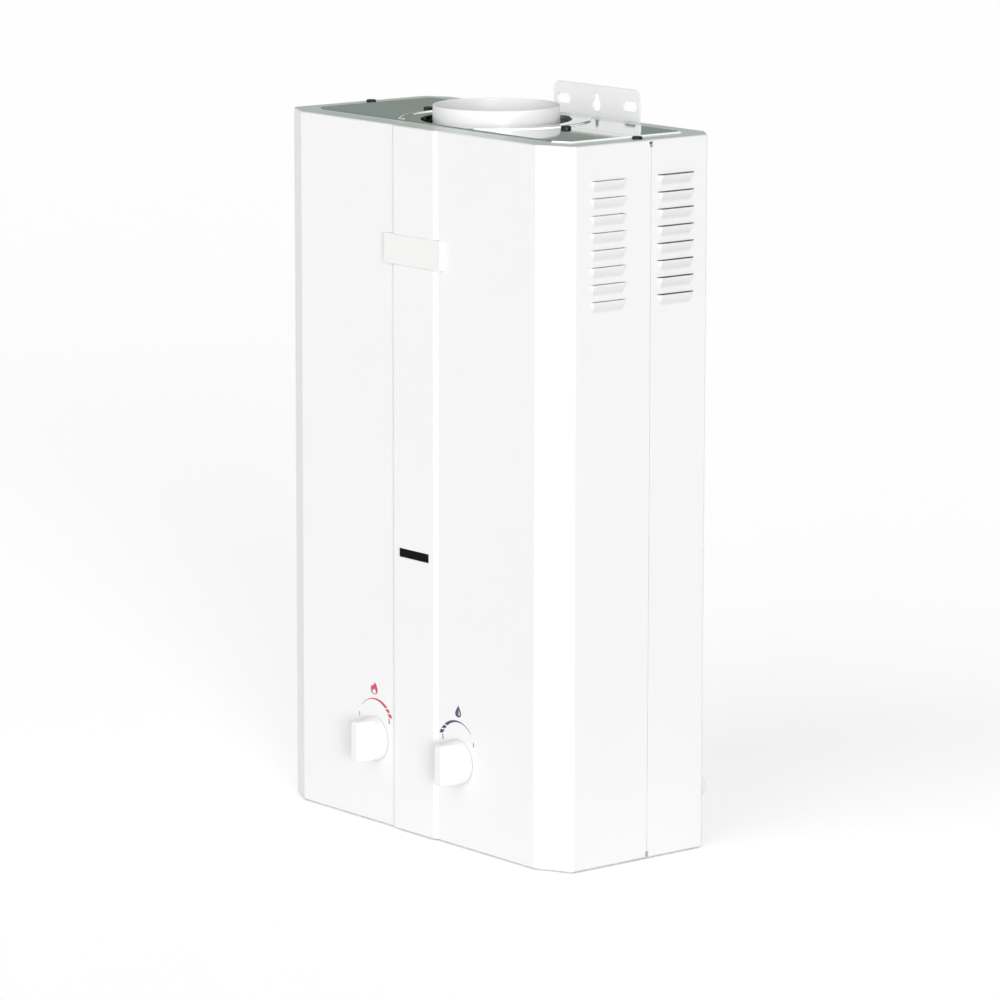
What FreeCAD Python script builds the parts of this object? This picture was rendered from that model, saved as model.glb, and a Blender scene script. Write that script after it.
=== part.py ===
import FreeCAD, Part

import math
import os

from FreeCAD import Vector

# Portable propane water heater, in millimetres.
# X runs to the right, Y to the back and Z up. While a piece is made, Y is its depth behind the front
# panel. When it is written, it moves so that the origin is on the floor under the middle of the object.

# Casing
CASE_WIDTH = 302.3
CASE_HEIGHT = 485.1
CASE_DEPTH = 138.0
KNOB_REACH = 17.8          # front panel to the front faces of the knobs
WALL_GAP = 22.0            # rear panel to the wall
SHEET = 1.0                # painted steel of the casing
BEND = 2.5                 # outer radius of the casing's upright bends
FRONT_CHAMFER_X = 25.0
FRONT_CHAMFER_Y = 12.8
REAR_CHAMFER_X = 15.7
REAR_CHAMFER_Y = 11.0
SEAM_DEPTH = 78.0          # where the front cover meets the rear case
SEAM_GAP = 0.4
SEAM_NOTCH_WIDTH = 1.4
SEAM_NOTCH_HEIGHT = 4.0
FLOOR_GAP = 1.2            # lower edge of the casing above the floor
STRIP_TOP = 21.5           # half width of the raised strip's face
STRIP_BASE = 24.5          # half width of the raised strip at the panel
STRIP_RAISE = 1.8
TOP_FLANGE = 14.0
SMALL_GAP = 0.2            # between sheets that lie side by side
LIP_REACH = 9.0            # rear case's lip under the front cover
LIP_ROOT = 4.0

# Louvres in the sides
LOUVRE_TOP = CASE_HEIGHT - 23.9
LOUVRE_PITCH = 11.36
LOUVRE_COUNT = 8
LOUVRE_LENGTH = 32.0
LOUVRE_HEIGHT = 5.6
LOUVRE_END = 3.0           # how far each end slants in
LOUVRE_SKIN = 0.8
FRONT_LOUVRE_DEPTH = 41.3
FRONT_LOUVRE_LIFT = 1.9
REAR_LOUVRE_DEPTH = 99.6
REAR_LOUVRE_LIFT = 2.5

# Lid
LID_SHEET = 0.8
LID_EDGE = 0.3             # lid's edge inside the casing's outer face
LID_BORDER = 16.0
LID_SLOPE = 2.0
LID_RAISE = 1.0
LID_TAB = 13.0             # rear half's tab under the front half
LID_TAB_ROOT = 3.0
FLUE_DEPTH = 70.0          # centre of the flue behind the front panel
FLUE_HOLE_MARGIN = 8.2      # lid hole round the flue collar
RING_MARGIN = 12.7          # rolled bead round the hole
RING_HALF = 2.2
RING_HEIGHT = 0.9
LID_SCREW_DEPTH = 73.5
LID_SCREW_X = CASE_WIDTH / 2 - 9.15
SEAM_SCREW_DEPTH = 70.0
SEAM_SCREW_MARGIN = 9.5     # outside the bead

# Screws
SCREW_R = 1.9
SCREW_HOLE = 0.1           # clearance round a screw
HEAD_R = 3.8
HEAD_HEIGHT = 2.2
SCREW_LENGTH = 6.0
HEAD_DOME = 0.8

# Badge and sight slot
BADGE_WIDTH = 61.5
BADGE_HEIGHT = 20.7
BADGE_Z = CASE_HEIGHT - 83.4
BADGE_THICK = 1.4          # in front of the strip's face
BADGE_CORNER = 2.0
BADGE_RELIEF = 0.6         # room for the bends at the foot of the strip
SLOT_WIDTH = 32.8
SLOT_HEIGHT = 6.2
SLOT_Z = 194.3
WINDOW_WIDTH = 40.0
WINDOW_HEIGHT = 16.0
WINDOW_THICK = 1.2

# Base tray
BASE_Z = 24.0              # upper face of the base plate
AIR_SLOT_COUNT = 8
AIR_SLOT_PITCH = 21.0
AIR_SLOT_WIDTH = 6.0
AIR_SLOT_START = 92.0
AIR_SLOT_END = 122.0
AIR_SLOT_LEFT = -84.0

# Flue collar and hood
COLLAR_R = 43.1
FLUE_HOLE_R = COLLAR_R + FLUE_HOLE_MARGIN
RING_R = FLUE_HOLE_R + RING_MARGIN
SEAM_SCREW_X = RING_R + SEAM_SCREW_MARGIN
COLLAR_WALL = 1.2
COLLAR_TOP = CASE_HEIGHT + 10.9
COLLAR_FLANGE_R = COLLAR_R + 2.4
COLLAR_LIP = 0.9
HOOD_TOP = CASE_HEIGHT - 44.1
HOOD_TOP_HALF = COLLAR_R + 8.9
HOOD_SKIRT = 8.0
HOOD_HOLE_R = COLLAR_R - 3.1
HOOD_SHEET = 0.8

# Combustion chamber, exchanger and burner
CHAMBER_HALF_X = CASE_WIDTH / 2 - 59.15
CHAMBER_HALF_Y = 46.0
CHAMBER_BOTTOM = 205.0
CHAMBER_TOP = 368.0
CHAMBER_SHEET = 0.8
TUBE_R = 5.5
TUBE_WALL = 0.8
TUBE_GAP = 0.3
COIL_BEND = 14.0
RETURN_BEND = 11.0
COIL_Z = 226.0
COIL_RISE = 26.0
TUBE_OFFSET_X = CHAMBER_HALF_X + 20      # riser to the fins, on the left
HOT_X = CHAMBER_HALF_X + 33
PASS_Z = 346.0
PASS_PITCH = 22.0
RETURN_X = CHAMBER_HALF_X + 5
FIN_COUNT = 12
FIN_PITCH = 14.0
FIN_THICK = 0.6
FIN_HEIGHT = 40.0
FIN_EDGE = 1.0
FIN_HOLE = 0.1
SHIELD_DEPTH = 130.0
SHIELD_HALF_X = CHAMBER_HALF_X - 12
SHIELD_BOTTOM = 210.0
SHIELD_TOP = 318.0
SHIELD_FOOT_R = 4.0
SHIELD_FOOT_X = 65.0
SHIELD_FOOT_IN = 10.0
STRAP_BOTTOM = 286.0
STRAP_TOP = 304.0
STRAP_START = 92.0
STRAP_FOOT = 15.0
TRAY_BOTTOM = 150.0
TRAY_TOP = 204.7
TRAY_HALF_X = CHAMBER_HALF_X - 1
TRAY_FRONT = 22.0
TRAY_BACK = 118.0
TRAY_RAIL = 8.0
TRAY_RAIL_INSET = 14.0
TRAY_LEG_X = 60.0
TRAY_LEG_HALF = 8.0
TRAY_LEG_BOTTOM = 172.0
TRAY_LEG_TOP = 186.0
PEEP_HALF = 18.0
PEEP_BOTTOM = 189.0
PEEP_TOP = 199.5
BAR_COUNT = 9
BAR_PITCH = 19.0
BAR_START = 31.0
BAR_END = 108.0
BAR_TUBE_R = 6.0
BAR_MOUTH_R = 4.6
BAR_MOUTH_LENGTH = 22.0
BAR_NECK = 4.0
BAR_HEAD = 9.0
BAR_HEAD_BOTTOM = 177.0
BAR_TOP = 188.0
PORT_COUNT = 8
PORT_PITCH = 8.5
PORT_WIDTH = 1.4
PORT_LENGTH = 6.4
PORT_DEPTH = 3.0
MANIFOLD_DEPTH = 12.0
MANIFOLD_R = 6.0
MANIFOLD_BORE = 4.6
MANIFOLD_HALF = CHAMBER_HALF_X - 8
MANIFOLD_TAB = 1.5
NOZZLE_BASE_R = 3.0
NOZZLE_TIP_R = 1.8
NOZZLE_END = 27.0
NOZZLE_HOLE_R = 6.6
NOZZLE_SEAT = 0.3
PROBE_X = 34.0
PROBE_Z = 196.0
PROBE_R = 3.5
PROBE_START = 4.0
PROBE_END = 30.0
PROBE_WIRE_R = 1.0
PROBE_WIRE_REACH = 44.0
PROBE_WIRE_DROP = 5.5
PROBE_WIRE_BEND = 3.0
THERMOSTAT_X = 40.0
THERMOSTAT_Z = 300.0
THERMOSTAT_R = 8.0
THERMOSTAT_HEIGHT = 6.0

# Knobs and spindles
KNOB_X = 46.0
KNOB_Z = 59.0
KNOB_R = 15.5
KNOB_DISC = 5.0
KNOB_GAP = 0.6
KNOB_GRIP_FRONT = 3.6      # half width of the grip at its front face
KNOB_GRIP_BASE = 5.9
KNOB_DRAFT = 0.8
KNOB_EDGE = 0.7
KNOB_DOT_R = 0.9
KNOB_DOT_SINK = 0.5
KNOB_DOT_IN = 3.6
KNOB_BORE_DEPTH = 13.0
SPINDLE_R = 3.0
SPINDLE_FLAT = 1.9
SPINDLE_START = -12.0
RUNNING = 0.05             # radial clearance of every turning or sliding fit
SPINDLE_HOLE_R = 4.5
PLUG_R = 6.0
PLUG_START = 40.0
PLUG_END = 60.0
PLUG_PORT_R = 2.5
GLAND_FLATS = 17.0
GLAND_LENGTH = 7.0

# Gas valve and water valve
VALVE_FRONT = 34.0
ROD_DEPTH = 56.0
ROD_Z = 90.0
ROD_R = 3.0
ROD_TRAVEL = 4.0
GAS_LEFT = -68.0
GAS_RIGHT = -24.0
GAS_CHAMBER_LEFT = -62.0
GAS_SEAT_LEFT = -36.0
GAS_SEAT_RIGHT = -34.0
GAS_CHAMBER_RIGHT = -28.0
GAS_CHAMBER_R = 11.0
GAS_BARREL_R = 15.0
TAP_BARREL_R = 13.0
TAP_BARREL_END = 70.0
SEAT_HOLE_R = 6.0
POPPET_R = 9.0
POPPET_THICK = 2.0
POPPET_GAP = 0.2
GUIDE_R = 2.4
GUIDE_LENGTH = 6.0
GAS_OUTLET_X = -31.0
GAS_OUTLET_R = 7.0
GAS_OUTLET_TOP = 112.0
GAS_PIPE_R = 4.0
GAS_PIPE_WALL = 0.8
GAS_PIPE_BEND = 9.0
GAS_PIPE_TURN_Z = 134.0
VALVE_BOTTOM = 44.0
INLET_BOSS_R = 13.0
INLET_BOSS_TOP = 60.0
SPRING_R = 6.4
SPRING_WIRE = 1.0
SPRING_TURNS = 6
CAP_FLATS = 19.0
CAP_HEAD = 4.0
DISC_R = 29.0
DISC_CAVITY_R = 24.0
WATER_FLANGE = 8.0
DIAPHRAGM_LEFT = 22.0
DIAPHRAGM_THICK = 1.0
DIAPHRAGM_COVER_LEFT = 14.0
COVER_WALL = 2.0
COVER_BOSS_R = 6.0
COVER_BOSS_LEFT = 6.0
PLATE_R = 18.0
PLATE_THICK = 1.5
BOLT_CIRCLE_R = 26.5
BOLT_R = 1.6
BOLT_HEAD_R = 2.6
BOLT_HEAD = 2.4
BOLT_LENGTH = 15.0
BOLT_COUNT = 4
COLUMN_R = 14.0
COLUMN_TOP = 104.0
WATER_NECK_R = 12.0
WATER_OUT_Z = 76.0
WATER_BOSS_R = 10.0
WATER_BOSS_END = 78.0
RELIEF_X = 89.0
RELIEF_ARM_R = 7.0
RELIEF_ARM_Z = 54.0
RELIEF_BOSS_R = 8.5
RELIEF_BOSS_BOTTOM = 40.0
RELIEF_R = 6.0
RELIEF_CAP_R = 8.0
RELIEF_CAP_BOTTOM = 8.0
RELIEF_CAP_TOP = 17.0
RELIEF_GRIPS = 12
RELIEF_GRIP_R = 1.1
BRIDGE_START = 62.2
BRIDGE_SHEET = 1.5
BRIDGE_FLANGE = 9.0
BRIDGE_BOTTOM = 84.0
BRIDGE_FLANGE_TOP = 98.0
BRIDGE_TOP = 119.0
SWITCH_LEFT = -20.0
SWITCH_LENGTH = 27.8
SWITCH_DEEP = 10.3
SWITCH_TALL = 15.9
SWITCH_BOTTOM = 101.0
SWITCH_EAR = 1.4
SWITCH_EAR_HALF = 2.2
SWITCH_BLADE_HEIGHT = 6.0
SWITCH_BLADE_WIDTH = 3.0
SWITCH_BLADE_THICK = 0.8
LEVER_PIVOT_X = -17.5
LEVER_PIVOT_Z = 98.6
LEVER_PIN_R = 1.0
LEVER_EYE_R = 1.8
LEVER_THICK = 0.8
LEVER_WIDTH = 5.0
LEVER_TIP_X = 3.0
CONE_LENGTH = 5.0
CONE_RISE = 2.5
SOLENOID_R = 11.0
SOLENOID_END = 98.0
SOLENOID_BORE_END = 94.0
PLUNGER_R = 4.0
PLUNGER_START = 64.0
PLUNGER_END = 88.0
PLUNGER_TRAVEL = 2.0

# Connections below
GAS_INLET_X = -56.0
COLD_X = 62.0
HOT_DEPTH = FLUE_DEPTH + PASS_PITCH
GAS_THREAD_R = 7.94
WATER_THREAD_R = 10.48
GAS_BORE_R = 3.5
WATER_BORE_R = 7.0
FITTING_BOTTOM = 3.0
HOT_FITTING_TOP = 40.0
GASKET = 1.5
COLLAR_HEX = 6.0
FITTING_HOLE = 0.3
GAS_FLATS = 22.0
WATER_FLATS = 27.0
NUT_THICK = 5.0
NUT_GAP = 0.1
UNDERCUT = 0.5             # groove between the free thread and the nut
UNDERCUT_WIDTH = 1.0
FILTER_R = 6.5
FILTER_WALL = 0.6
FILTER_TOP = 36.0
FILTER_BOTTOM = 10.0
FILTER_RIM = 1.5
UNION_FLATS = 18.0
UNION_LENGTH = 8.0
WATER_UNION_LENGTH = 5.6
GAS_UNION_LENGTH = 6.0
GAS_UNION_FLATS = 14.0

# Ignition and batteries
MODULE_LEFT = -50.0
MODULE_RIGHT = 40.0
MODULE_FRONT = 106.0
MODULE_BOTTOM = 66.0
MODULE_TOP = 126.0
MODULE_EAR = 8.0
MODULE_EAR_THICK = 2.0
MODULE_DRAFT = 3.0
MODULE_STUB_R = 4.0
MODULE_STUB = 8.0
BOX_LEFT = -142.0
BOX_RIGHT = -104.0
BOX_START = 46.0
BOX_END = 118.0
BOX_TOP = 92.0
BOX_WALL = 1.6
BOX_FLANGE = 4.5
BOX_FLANGE_THICK = 1.5
CELL_R = 16.5
CELL_PITCH = 34.0
CELL_BOTTOM = 22.6
CELL_HEIGHT = 59.5
CELL_NUB_R = 4.7
CELL_NUB = 1.5
CELL_EDGE = 0.8
DOOR_THICK = 1.8
DOOR_GAP = 0.3
HINGE_X = -145.0
HINGE_PIN_R = 1.0
HINGE_EYE_R = 2.1
HINGE_LUG = 6.0
HINGE_LUG_INSET = 6.0
DOOR_LATCH = 1.4
DOOR_LATCH_LENGTH = 16.0
DOOR_RIB = 1.2
CONTACT_HALF_X = 12.0
CONTACT_HALF_Y = 28.0

# Wall bracket and spacers
BRACKET_SHEET = 1.5
BRACKET_HALF = 45.5
BRACKET_TOP = 503.0
BRACKET_BOTTOM = 430.0
BRACKET_WEB_TOP = 476.0
BRACKET_CORNER = 6.0
BRACKET_FOOT = 15.0
BRACKET_SLOT_SPACING = 70.0
BRACKET_SLOT_LENGTH = 14.6
BRACKET_SLOT_R = 3.5
BRACKET_SLOT_Z = 491.3
KEYHOLE_R = 4.6
KEYHOLE_NECK_R = 2.6
KEYHOLE_Z = 489.9
KEYHOLE_NECK_Z = 495.7
BRACKET_SCREW_IN = 9.0
SPACER_X = 110.0
SPACER_Z = 32.0
SPACER_R = 9.0
SPACER_EDGE = 1.5
CASE_SCREW_X = (-90.0, -30.0, 30.0, 90.0)
CASE_SCREW_Z = 12.0

OVER = 1.0                 # how far a cutting shape runs past what it cuts
FRONT_Y = KNOB_REACH - (KNOB_REACH + CASE_DEPTH + WALL_GAP) / 2
HALF_WIDTH = CASE_WIDTH / 2
WALL_DEPTH = CASE_DEPTH + WALL_GAP
LID_TOP = CASE_HEIGHT
WALL_TOP = CASE_HEIGHT - LID_SHEET
REAR_INSIDE = CASE_DEPTH - SHEET
PANEL_INSIDE = SHEET
BAR_TUBE_Z = TRAY_BOTTOM + SHEET + BAR_TUBE_R + TUBE_GAP
TUBE_SIDE_X = CHAMBER_HALF_X + TUBE_R + TUBE_GAP
TUBE_FRONT = FLUE_DEPTH - CHAMBER_HALF_Y - TUBE_R - TUBE_GAP
TUBE_BACK = FLUE_DEPTH + CHAMBER_HALF_Y + TUBE_R + TUBE_GAP
CHAMBER_CORNER = COIL_BEND - TUBE_R - TUBE_GAP
SCREW_HOLE_R = SCREW_R + SCREW_HOLE

X_AXIS = Vector(1, 0, 0)
Y_AXIS = Vector(0, 1, 0)
Z_AXIS = Vector(0, 0, 1)


def box(x0, x1, y0, y1, z0, z1):
    """Block between two corners."""
    return Part.makeBox(x1 - x0, y1 - y0, z1 - z0, Vector(x0, y0, z0))


def cylinder(start, axis, length, radius):
    """Round bar from a point along an axis."""
    return Part.makeCylinder(radius, length, start, axis)


def cone(start, axis, length, first_radius, last_radius):
    """Tapered bar from a point along an axis."""
    return Part.makeCone(first_radius, last_radius, length, start, axis)


def tube_bar(start, axis, length, outer, inner):
    """Straight pipe with open ends."""
    solid = cylinder(start, axis, length, outer)
    return solid.cut(cylinder(start - axis * OVER, axis, length + 2 * OVER, inner))


def hexagon(start, axis, length, flats, bore):
    """Hexagonal nut or collar, with a round bore unless the bore is zero."""
    radius = flats / math.sqrt(3)
    side = Z_AXIS if abs(axis.z) < 1 else X_AXIS
    other = axis.cross(side)
    corners = []
    for i in range(7):
        turn = math.radians(60 * i)
        corners.append(start + side * (radius * math.cos(turn)) + other * (radius * math.sin(turn)))
    solid = Part.Face(Part.makePolygon(corners)).extrude(axis * length)
    if bore:
        solid = solid.cut(cylinder(start - axis * OVER, axis, length + 2 * OVER, bore))
    return solid


def joined(*solids):
    """One solid from several that meet."""
    whole = solids[0]
    if len(solids) > 1:
        whole = whole.fuse(list(solids[1:]))
    return whole.removeSplitter()


def less(solid, *tools):
    """The solid with every tool cut out of it."""
    return solid.cut(list(tools))


def tangent_arc(before, corner, after, radius):
    """Start, middle and end of the arc that rounds a corner."""
    back = (before - corner).normalize()
    ahead = (after - corner).normalize()
    half = back.getAngle(ahead) / 2
    reach = radius / math.tan(half)
    centre = corner + (back + ahead).normalize() * (radius / math.sin(half))
    middle = centre + (corner - centre).normalize() * radius
    return corner + back * reach, middle, corner + ahead * reach


def rounded(points, radii):
    """Closed outline through the points, with an arc of the given radius at each."""
    count = len(points)
    arcs = []
    for i, corner in enumerate(points):
        arcs.append(tangent_arc(points[i - 1], corner, points[(i + 1) % count], radii[i]))
    edges = []
    for i, (start, middle, end) in enumerate(arcs):
        edges.append(Part.Arc(start, middle, end).toShape())
        edges.append(Part.LineSegment(end, arcs[(i + 1) % count][0]).toShape())
    return Part.Wire(edges)


def path(points, radii):
    """Open line through the points, rounded at each inner point."""
    edges = []
    last = points[0]
    for i in range(1, len(points) - 1):
        start, middle, end = tangent_arc(points[i - 1], points[i], points[i + 1], radii[i - 1])
        if (start - last).Length > SMALL_GAP / 10:
            edges.append(Part.LineSegment(last, start).toShape())
        edges.append(Part.Arc(start, middle, end).toShape())
        last = end
    edges.append(Part.LineSegment(last, points[-1]).toShape())
    return Part.Wire(edges)


def bent_tube(points, radii, outer, inner):
    """Pipe along a rounded line."""
    line = path(points, radii)
    start = points[0]
    direction = (points[1] - points[0]).normalize()
    outside = Part.Wire([Part.makeCircle(outer, start, direction)])
    solid = line.makePipeShell([outside], True, False)
    if not inner:
        return solid
    inside = Part.Wire([Part.makeCircle(inner, start, direction)])
    return solid.cut(line.makePipeShell([inside], True, False))


def turns(points):
    """The sign of the turn at each point of a closed outline."""
    signs = []
    count = len(points)
    for i, corner in enumerate(points):
        arrive = corner - points[i - 1]
        leave = points[(i + 1) % count] - corner
        signs.append(1 if arrive.cross(leave).z > 0 else -1)
    return signs


def inset(points, distance):
    """The outline moved inwards by a distance."""
    moved = []
    count = len(points)
    for i, corner in enumerate(points):
        arrive = (corner - points[i - 1]).normalize()
        leave = (points[(i + 1) % count] - corner).normalize()
        inward = Vector(-arrive.y, arrive.x, 0)
        mitre = (inward + Vector(-leave.y, leave.x, 0)).normalize()
        moved.append(corner + mitre * (distance / mitre.dot(inward)))
    return moved


def prism(wire, z0, z1):
    """Upright solid on a closed outline."""
    solid = Part.Face(wire).extrude(Vector(0, 0, z1 - z0))
    solid.translate(Vector(0, 0, z0))
    return solid


def outline(with_strip):
    """Plan of the casing, counter-clockwise, with or without the raised strip."""
    points = [Vector(FRONT_CHAMFER_X - HALF_WIDTH, 0, 0)]
    if with_strip:
        points += [
            Vector(-STRIP_BASE, 0, 0),
            Vector(-STRIP_TOP, -STRIP_RAISE, 0),
            Vector(STRIP_TOP, -STRIP_RAISE, 0),
            Vector(STRIP_BASE, 0, 0),
        ]
    points += [
        Vector(HALF_WIDTH - FRONT_CHAMFER_X, 0, 0),
        Vector(HALF_WIDTH, FRONT_CHAMFER_Y, 0),
        Vector(HALF_WIDTH, CASE_DEPTH - REAR_CHAMFER_Y, 0),
        Vector(HALF_WIDTH - REAR_CHAMFER_X, CASE_DEPTH, 0),
        Vector(REAR_CHAMFER_X - HALF_WIDTH, CASE_DEPTH, 0),
        Vector(-HALF_WIDTH, CASE_DEPTH - REAR_CHAMFER_Y, 0),
        Vector(-HALF_WIDTH, FRONT_CHAMFER_Y, 0),
    ]
    return points


def case_plan(distance, with_strip):
    """The casing's plan, moved inwards, with its bends."""
    points = outline(with_strip)
    radii = []
    for sign in turns(points):
        if sign > 0:
            radii.append(max(BEND - distance, SHEET / 2))
        else:
            radii.append(max(BEND - SHEET + min(distance, SHEET), SHEET / 2))
    return rounded(inset(points, distance), radii)


def band(outer, inner, z0, z1, with_strip=False):
    """Upright wall that follows the casing between two insets."""
    wall = prism(case_plan(outer, with_strip), z0, z1)
    return wall.cut(prism(case_plan(inner, with_strip), z0 - OVER, z1 + OVER))


def front_region(end):
    """Everything in front of a depth."""
    return box(-CASE_WIDTH, CASE_WIDTH, -CASE_DEPTH, end, -CASE_HEIGHT, 2 * CASE_HEIGHT)


def rear_region(start):
    """Everything behind a depth."""
    return box(-CASE_WIDTH, CASE_WIDTH, start, 2 * CASE_DEPTH, -CASE_HEIGHT, 2 * CASE_HEIGHT)


def wedge(side, depth, top, half_length, height, lift, start, taper):
    """Louvre body: it stands out by the lift at its top edge and runs back to the wall below."""
    wall = side * HALF_WIDTH

    def point(along, up, out):
        return Vector(wall + side * out, depth + along, top + up)

    upper = [point(-half_length, 0, start), point(half_length, 0, start)]
    proud = [point(taper - half_length, 0, lift), point(half_length - taper, 0, lift)]
    lower = [point(taper - half_length, -height, start), point(half_length - taper, -height, start)]
    faces = [
        [upper[0], upper[1], proud[1], proud[0]],
        [proud[0], proud[1], lower[1], lower[0]],
        [upper[0], proud[0], lower[0]],
        [upper[1], lower[1], proud[1]],
        [upper[0], lower[0], lower[1], upper[1]],
    ]
    shell = Part.Shell([Part.Face(Part.makePolygon(f + [f[0]])) for f in faces])
    solid = Part.Solid(shell)
    if solid.Volume < 0:
        solid.reverse()
    return solid


def with_louvres(wall, depth, lift):
    """The wall with its column of louvres on both sides."""
    half = LOUVRE_LENGTH / 2
    hoods = []
    holes = []
    for side in (-1, 1):
        for i in range(LOUVRE_COUNT):
            top = LOUVRE_TOP - i * LOUVRE_PITCH
            hoods.append(wedge(side, depth, top, half, LOUVRE_HEIGHT, lift, 0, LOUVRE_END))
            holes.append(wedge(side, depth, top + SMALL_GAP, half - LOUVRE_SKIN, LOUVRE_HEIGHT - LOUVRE_SKIN,
                               lift - LOUVRE_SKIN, -SHEET - SMALL_GAP, LOUVRE_END))
    return wall.fuse(hoods).cut(holes)


def seam_notches(edge, back):
    """Relief notches at both ends of the side seams, cut in front of or behind the seam."""
    tools = []
    reach = -SEAM_NOTCH_WIDTH if back else SEAM_NOTCH_WIDTH
    y0 = min(edge, edge - reach)
    y1 = max(edge, edge - reach)
    for side in (-1, 1):
        x0 = min(side * (HALF_WIDTH - 2 * SHEET), side * (HALF_WIDTH + SHEET))
        x1 = max(side * (HALF_WIDTH - 2 * SHEET), side * (HALF_WIDTH + SHEET))
        tools.append(box(x0, x1, y0, y1, WALL_TOP - SEAM_NOTCH_HEIGHT, WALL_TOP + OVER))
        tools.append(box(x0, x1, y0, y1, 0, FLOOR_GAP + SEAM_NOTCH_HEIGHT))
    return tools


def front_cover():
    """Bent sheet: front panel with its strip, chamfers, both front sides and the flange under the lid."""
    edge = SEAM_DEPTH - SEAM_GAP / 2
    wall = band(0, SHEET, FLOOR_GAP, WALL_TOP, True)
    flange = prism(case_plan(0, True), WALL_TOP - SHEET, WALL_TOP)
    flange = flange.cut(prism(case_plan(TOP_FLANGE, False), WALL_TOP - 2 * SHEET, WALL_TOP + SHEET))
    wall = wall.fuse(flange).common(front_region(edge))
    wall = with_louvres(wall, FRONT_LOUVRE_DEPTH, FRONT_LOUVRE_LIFT)
    tools = seam_notches(edge, False)
    for side in (-1, 1):
        tools.append(cylinder(Vector(side * KNOB_X, -OVER, KNOB_Z), Y_AXIS, SHEET + 2 * OVER, SPINDLE_HOLE_R))
        tools.append(cylinder(Vector(side * LID_SCREW_X, LID_SCREW_DEPTH, WALL_TOP - 2 * SHEET), Z_AXIS,
                              3 * SHEET, SCREW_HOLE_R))
    tools.append(box(-SLOT_WIDTH / 2, SLOT_WIDTH / 2, -STRIP_RAISE - OVER, SHEET,
                     SLOT_Z - SLOT_HEIGHT / 2, SLOT_Z + SLOT_HEIGHT / 2))
    return less(wall, *tools)


def rear_case():
    """Bent sheet: back panel, rear chamfers, both rear sides, and the lip that the cover closes over."""
    edge = SEAM_DEPTH + SEAM_GAP / 2
    wall = band(0, SHEET, FLOOR_GAP, WALL_TOP)
    flange = prism(case_plan(0, False), WALL_TOP - SHEET, WALL_TOP)
    flange = flange.cut(prism(case_plan(TOP_FLANGE, False), WALL_TOP - 2 * SHEET, WALL_TOP + SHEET))
    wall = wall.fuse(flange).common(rear_region(edge))
    lip_bottom = BASE_Z + 2 * SHEET
    lip_top = WALL_TOP - 2 * SHEET
    root = band(SHEET, 2 * SHEET, lip_bottom, lip_top)
    root = root.common(box(-CASE_WIDTH, CASE_WIDTH, edge, edge + LIP_ROOT, 0, CASE_HEIGHT))
    lip = band(SHEET + SMALL_GAP, 2 * SHEET, lip_bottom, lip_top)
    lip = lip.common(box(-CASE_WIDTH, CASE_WIDTH, edge - LIP_REACH, edge, 0, CASE_HEIGHT))
    wall = joined(wall, root, lip)
    wall = with_louvres(wall, REAR_LOUVRE_DEPTH, REAR_LOUVRE_LIFT)
    tools = seam_notches(edge, True)
    for x, z in rear_holes():
        tools.append(cylinder(Vector(x, REAR_INSIDE - OVER, z), Y_AXIS, SHEET + 2 * OVER, SCREW_HOLE_R))
    return less(wall, *tools)


def bracket_screw_places():
    """The four screws through the wall bracket's feet."""
    places = []
    for side in (-1, 1):
        for z in (BRACKET_BOTTOM + BRACKET_SCREW_IN, BRACKET_WEB_TOP - BRACKET_SCREW_IN):
            places.append((side * (BRACKET_HALF + BRACKET_FOOT / 2), z))
    return places


def rear_holes():
    """Screw holes in the back panel."""
    places = bracket_screw_places()
    for x in CASE_SCREW_X:
        places.append((x, CASE_SCREW_Z))
    return places


def lid():
    """The whole lid, before it is split at the seam."""
    plate = prism(case_plan(LID_EDGE, True), LID_TOP - LID_SHEET, LID_TOP)
    plain = outline(False)

    def ring(distance, z):
        points = [Vector(p.x, p.y, z) for p in inset(plain, distance)]
        return Part.makePolygon(points + [points[0]])

    raised = Part.makeLoft([ring(LID_BORDER, LID_TOP), ring(LID_BORDER + LID_SLOPE, LID_TOP + LID_RAISE)],
                           True, True)
    hollow = Part.makeLoft([ring(LID_BORDER, LID_TOP - LID_SHEET),
                            ring(LID_BORDER + LID_SLOPE, LID_TOP + LID_RAISE - LID_SHEET)], True, True)
    top = LID_TOP + LID_RAISE
    arc = Part.Arc(Vector(RING_R - RING_HALF, FLUE_DEPTH, top), Vector(RING_R, FLUE_DEPTH, top + RING_HEIGHT),
                   Vector(RING_R + RING_HALF, FLUE_DEPTH, top)).toShape()
    base = Part.makePolygon([
        Vector(RING_R + RING_HALF, FLUE_DEPTH, top),
        Vector(RING_R + RING_HALF, FLUE_DEPTH, top - LID_SHEET / 2),
        Vector(RING_R - RING_HALF, FLUE_DEPTH, top - LID_SHEET / 2),
        Vector(RING_R - RING_HALF, FLUE_DEPTH, top),
    ])
    profile = Part.Face(Part.Wire([arc] + base.Edges))
    bead = profile.revolve(Vector(0, FLUE_DEPTH, top), Z_AXIS, 360)
    bead = bead.common(prism(Part.makePolygon(inset(plain, LID_BORDER + LID_SLOPE)
                                              + [inset(plain, LID_BORDER + LID_SLOPE)[0]]),
                             LID_TOP, LID_TOP + 3 * LID_RAISE))
    plate = plate.fuse(raised).cut(hollow).fuse(bead)
    return plate.cut(flue_hole())


def flue_hole():
    """Round opening for the flue through the lid."""
    return cylinder(Vector(0, FLUE_DEPTH, LID_TOP - 4 * LID_RAISE), Z_AXIS, 8 * LID_RAISE, FLUE_HOLE_R)


def lid_screw_places():
    """The four black screws: two in the border and two beside the flue."""
    places = []
    for side in (-1, 1):
        places.append((side * LID_SCREW_X, LID_SCREW_DEPTH, LID_TOP))
        places.append((side * SEAM_SCREW_X, SEAM_SCREW_DEPTH, LID_TOP + LID_RAISE))
    return places


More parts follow.
